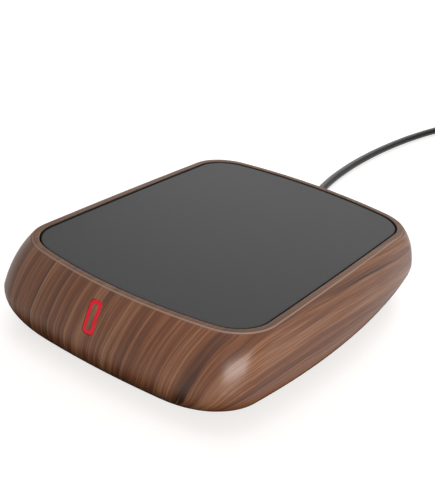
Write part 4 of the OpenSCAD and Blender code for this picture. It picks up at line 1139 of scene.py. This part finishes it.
def build_plug():
    """Moulded two-pin plug: a ribbed boot that grows into a flat body with grips on its sides. Each
    station is its place along Y, its half width, its half height and its corner radius."""
    back, front = PLUG_BACK, PLUG_BACK - PLUG_LENGTH
    stations = [(back, 2.15, 2.15, 2.15), (back, 2.7, 2.7, 2.7)]
    for i in range(4):
        y, r = back - 1.0 - 3.0 * i, 2.9 + 0.42 * i
        stations += [(y - along, *(r + out,) * 3)
                     for along, out in ((0, 0), (1.5, 0.16), (1.8, -0.35), (2.6, -0.3))]
    stations += [(back - 13.0, 4.6, 4.5, 4.3), (back - 14.2, 7.6, 5.4, 4.2), (back - 15.2, 9.4, 6.0, 3.9),
                 (back - 16.6, 10.2, 6.35, 3.7), (back - 18.5, 10.5, 6.5, 3.5)]
    for i in range(5):
        y = back - 20.5 - 3.0 * i
        stations += [(y, 10.5, 6.5, 3.5), (y - 0.5, 10.0, 6.5, 3.3), (y - 1.3, 10.0, 6.5, 3.3),
                     (y - 1.8, 10.5, 6.5, 3.5)]
    stations += [(front + 5.5, 10.5, 6.5, 3.5), (front + 1.0, 10.3, 6.3, 3.4),
                 (front + 0.3, 10.05, 6.05, 3.2), (front, 9.5, 5.5, 2.8)]
    turns = [2 * math.pi * (i + 0.5) / PLUG_SEGMENTS for i in range(PLUG_SEGMENTS)]
    round_way = [(math.cos(a), math.sin(a)) for a in turns]
    bm = bmesh.new()
    made = bmesh.ops.create_circle(bm, segments=PLUG_SEGMENTS, radius=1.0)
    first = ring = in_order(made["verts"])
    edges = list(bm.edges)
    for station, (y, half_x, half_z, corner) in enumerate(stations):
        if station:
            ring, edges = next_ring(bm, ring, edges)
        for v, (c, s) in zip(ring, round_way):
            v.co = ((PLUG_AT[0] + corner * c + math.copysign(1, c) * (half_x - corner)) * MM, y * MM,
                    (PLUG_AT[1] + corner * s + math.copysign(1, s) * (half_z - corner)) * MM)
    for end in (ring, first):
        bmesh.ops.contextual_create(bm, geom=end)
    face_out(bm)
    plug = piece("plug_shell", bm, finish("plug_plastic"), "housing", "cord_jacket", "plug_body", smooth=32.0)
    return plug, eased_copy("plug_pins", "plug_blades", "nickel_blade", 0.25 * MM, 3)


# ---- underside and inside ----------------------------------------------------------

def build_feet():
    """Four turned rubber feet with a raised ring and a dished middle"""
    bm = bmesh.new()
    profile = [(0, 0.5), (3.6, 0.5), (4.2, 0.15), (4.6, 0.0), (5.5, 0.0), (5.95, 0.12), (6.25, 0.5),
               (6.45, 1.0), (6.5, 1.5), (6.5, 3.0), (0, 3.0)]
    for x, y in four_ways(*FEET):
        spin_profile(bm, profile, Matrix.Translation((x, y, 0)) @ Matrix.Scale(MM, 4), 40)
    piece("feet", bm, finish("rubber_black"), "housing", "rubber_black", "rubber_feet", smooth=38.0)


def build_flexing_pieces():
    """The springs and leads between the plate and the housing, which give when the plate goes down"""
    for name, node, slot in (("plate_springs", "return_springs", "spring_steel"),
                             ("heater_wires", "heater_leads", "wire_red"),
                             ("sensor_wires", "sensor_leads", "wire_grey")):
        obj = piece(name, copy_of(node), finish(slot), None, slot, node, smooth=50.0)
        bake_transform(obj)


INNER_FINISHES = {
    "brown_plastic": ["plate_carrier"],
    "zinc_steel": ["carrier_screws", "clamp_screws", "key_board_screws", "switch_screws", "board_screws",
                   "cord_clamp_screws"],
    "heater_mat": ["heater_element"], "felt": ["insulation_pad"],
    "sheet_steel": ["clamp_plate", "sensor_clip", "cutoff_bracket"],
    "brass_cup": ["temperature_sensor"], "glazed_white": ["thermal_cutoff"],
    "wire_grey": ["key_cable"], "wire_blue": ["switch_leads"],
    "wire_brown": ["mains_leads"], "board_green": ["key_board", "main_board"],
    "black_plastic": ["tact_switch", "micro_switch", "cord_clamp", "board_chips", "board_fuse"],
    "ivory_plastic": ["tact_plunger", "board_connectors"], "lamp_resin": ["indicator_lamps"],
    "red_button": ["switch_plunger"], "blue_case": ["relay"], "yellow_case": ["film_capacitor"],
    "black_sleeve": ["electrolytic_capacitors"], "green_block": ["terminal_block"],
    "cord_jacket": ["cord_inner"],
}


def finish_inner_pieces():
    """Gives every CAD node that still shows its own finish"""
    for slot, names in INNER_FINISHES.items():
        for name in names:
            node = NODES[name]
            if not node.material_slots:
                node.data.materials.append(None)
            for material_slot in node.material_slots:
                material_slot.material = finish(slot)


# ---- stage -------------------------------------------------------------------------

IMAGE = (435, 495)
FOCAL_PX = 940.84
SENSOR = 36
TARGET = Vector((-11.93, 12.46, 16.5)) * MM
AZIMUTH, ELEVATION, ROLL = math.radians(30.54), math.radians(25.73), math.radians(7.97)
DISTANCE = 394.17 * MM


def add_camera():
    """Camera that looks down at the near corner"""
    back = Vector((math.sin(AZIMUTH) * math.cos(ELEVATION), -math.cos(AZIMUTH) * math.cos(ELEVATION),
                   math.sin(ELEVATION)))
    level = Vector((math.cos(AZIMUTH), math.sin(AZIMUTH), 0))
    upright = back.cross(level)
    right = level * math.cos(ROLL) + upright * math.sin(ROLL)
    up = upright * math.cos(ROLL) - level * math.sin(ROLL)
    data = bpy.data.cameras.new("view")
    data.sensor_fit = "HORIZONTAL"
    data.sensor_width = SENSOR
    data.lens = FOCAL_PX * SENSOR / IMAGE[0]
    data.clip_start, data.clip_end = 0.02, 50
    camera = add_object("view", data)
    camera.matrix_world = Matrix.Translation(TARGET + back * DISTANCE) @ Matrix(
        (right, up, back)).transposed().to_4x4()
    bpy.context.scene.camera = camera


def add_area(name, at, target, size, power):
    data = bpy.data.lights.new(name, "AREA")
    data.shape = "RECTANGLE"
    data.size, data.size_y = size
    data.energy = power
    lamp = add_object(name, data)
    lamp.location = at
    lamp.rotation_euler = (Vector(at) - Vector(target)).to_track_quat("Z", "Y").to_euler()


def seen_directly(t):
    """1 for what the camera sees straight on, in a gloss or through glass, and 0 for plain light"""
    path = t.add("ShaderNodeLightPath").outputs
    return t.math("MAXIMUM", t.math("MAXIMUM", path["Is Camera Ray"], path["Is Glossy Ray"]),
                  path["Is Transmission Ray"])


def add_world():
    """Even pale light from all around, and a white backdrop behind the object"""
    world = bpy.data.worlds.new("studio")
    bpy.context.scene.world = world
    world.use_nodes = True
    t = Tree(world.node_tree)
    strength = t.span(seen_directly(t), 0.0, 1.0, 0.33, 1.0)
    t.feed(t.nodes["Background"], {"Color": (1, 1, 1, 1), "Strength": strength})


def add_floor():
    material, t, shader = new_material("pale floor")
    cloud = t.noise(t.object_vector(), 3.0, 2.0, 0.5)
    t.feed(shader, {"Base Color": t.mix(cloud, (0.43, 0.425, 0.42, 1), (0.45, 0.445, 0.44, 1)),
                    "Roughness": 0.5, "Specular IOR Level": 0.25, "Emission Color": (1, 0.975, 0.955, 1),
                    "Emission Strength": t.times(seen_directly(t), 0.70)})
    bm = bmesh.new()
    bmesh.ops.create_circle(bm, cap_ends=True, segments=96, radius=6.0)
    floor = mesh_object("floor", bm, material)


def build_stage():
    bpy.context.scene.view_settings.view_transform = "Standard"
    add_world()
    add_floor()
    add_area("key softbox", (0.80, -0.46, 0.24), (0, 0, 0.02), (0.66, 0.30), 7.2)
    add_area("top softbox", (-0.1, 0.15, 1.1), (0, 0, 0), (0.9, 0.9), 4.0)
    add_area("rear softbox", (-0.45, 0.95, 0.50), (0, 0.02, 0.03), (0.8, 0.4), 2.8)


# ---- operators ---------------------------------------------------------------------

class Step:
    """What the building steps share"""
    bl_options = {"REGISTER", "UNDO"}


class WARMER_OT_camera(Step, bpy.types.Operator):
    """Add the camera that looks down at the near corner"""
    bl_idname = "warmer.camera"
    bl_label = "Camera"

    def execute(self, context):
        add_camera()
        return {"FINISHED"}


class WARMER_OT_cord(Step, bpy.types.Operator):
    """Lay the mains cord from its strain relief to its coil and plug"""
    bl_idname = "warmer.cord"
    bl_label = "Cord, strain relief, strap and plug"

    def execute(self, context):
        cord = build_cord()
        boot = build_strain_relief()
        strap = build_tie()
        plug, blades = build_plug()
        path = cord_path()
        measured = sum((b - a).length for a, b in zip(path, path[1:]))
        if not 1.2 < measured < 1.45:
            raise RuntimeError(f"the cord is {measured:.3f} m long")
        return {"FINISHED"}


class WARMER_OT_housing(Step, bpy.types.Operator):
    """Build the wood-finish housing with its rim, its slot for the key and its inner bosses"""
    bl_idname = "warmer.housing"
    bl_label = "Housing"

    def execute(self, context):
        build_housing()
        return {"FINISHED"}


class WARMER_OT_plate(Step, bpy.types.Operator):
    """Build the heating plate with its rounded edge, skirt and posts"""
    bl_idname = "warmer.plate"
    bl_label = "Heating plate"

    def execute(self, context):
        build_plate()
        return {"FINISHED"}


class WARMER_OT_key(Step, bpy.types.Operator):
    """Build the lit key and its wood inlay"""
    bl_idname = "warmer.key"
    bl_label = "Key"

    def execute(self, context):
        build_key()
        return {"FINISHED"}


class WARMER_OT_underside(Step, bpy.types.Operator):
    """Build the bottom cover, its screws and the rubber feet"""
    bl_idname = "warmer.underside"
    bl_label = "Cover, screws and feet"

    def execute(self, context):
        eased_copy("bottom_cover", "base_cover", "black_plastic", 0.2 * MM)
        eased_copy("bottom_screws", "case_screws", "zinc_steel", 0.12 * MM)
        build_feet()
        return {"FINISHED"}


class WARMER_OT_inner(Step, bpy.types.Operator):
    """Build the springs and leads under the plate and give every inner piece its own finish"""
    bl_idname = "warmer.inner"
    bl_label = "Inner pieces"

    def execute(self, context):
        build_flexing_pieces()
        finish_inner_pieces()
        return {"FINISHED"}


class WARMER_OT_stage(Step, bpy.types.Operator):
    """Add the pale floor, the white surround and the soft lamps"""
    bl_idname = "warmer.stage"
    bl_label = "Stage"

    def execute(self, context):
        build_stage()
        return {"FINISHED"}


OPERATORS = (
    WARMER_OT_camera, WARMER_OT_cord, WARMER_OT_housing, WARMER_OT_plate, WARMER_OT_key,
    WARMER_OT_underside, WARMER_OT_inner, WARMER_OT_stage,
)


class WARMER_PT_panel(bpy.types.Panel):
    """Sizes, colours and building steps of the mug warmer"""
    bl_idname = "WARMER_PT_panel"
    bl_label = "Mug warmer"
    bl_space_type = "VIEW_3D"
    bl_region_type = "UI"
    bl_category = "Mug warmer"

    def draw(self, context):
        layout = self.layout
        for group in (context.scene.warmer_sizes, context.scene.warmer_looks):
            box = layout.box()
            for name in group.__annotations__:
                box.prop(group, name)
        for operator in OPERATORS:
            layout.operator(operator.bl_idname)


CLASSES = (WarmerSizes, WarmerLooks) + OPERATORS + (WARMER_PT_panel,)


def register():
    for cls in CLASSES:
        bpy.utils.register_class(cls)
    bpy.types.Scene.warmer_sizes = bpy.props.PointerProperty(type=WarmerSizes)
    bpy.types.Scene.warmer_looks = bpy.props.PointerProperty(type=WarmerLooks)


def unregister():
    del bpy.types.Scene.warmer_looks
    del bpy.types.Scene.warmer_sizes
    for cls in reversed(CLASSES):
        bpy.utils.unregister_class(cls)


def main():
    register()
    bpy.ops.warmer.camera()
    bpy.ops.warmer.cord()
    bpy.ops.warmer.housing()
    bpy.ops.warmer.plate()
    bpy.ops.warmer.key()
    bpy.ops.warmer.underside()
    bpy.ops.warmer.inner()
    bpy.ops.warmer.stage()
    bpy.context.view_layer.update()


if __name__ == "__main__":
    main()
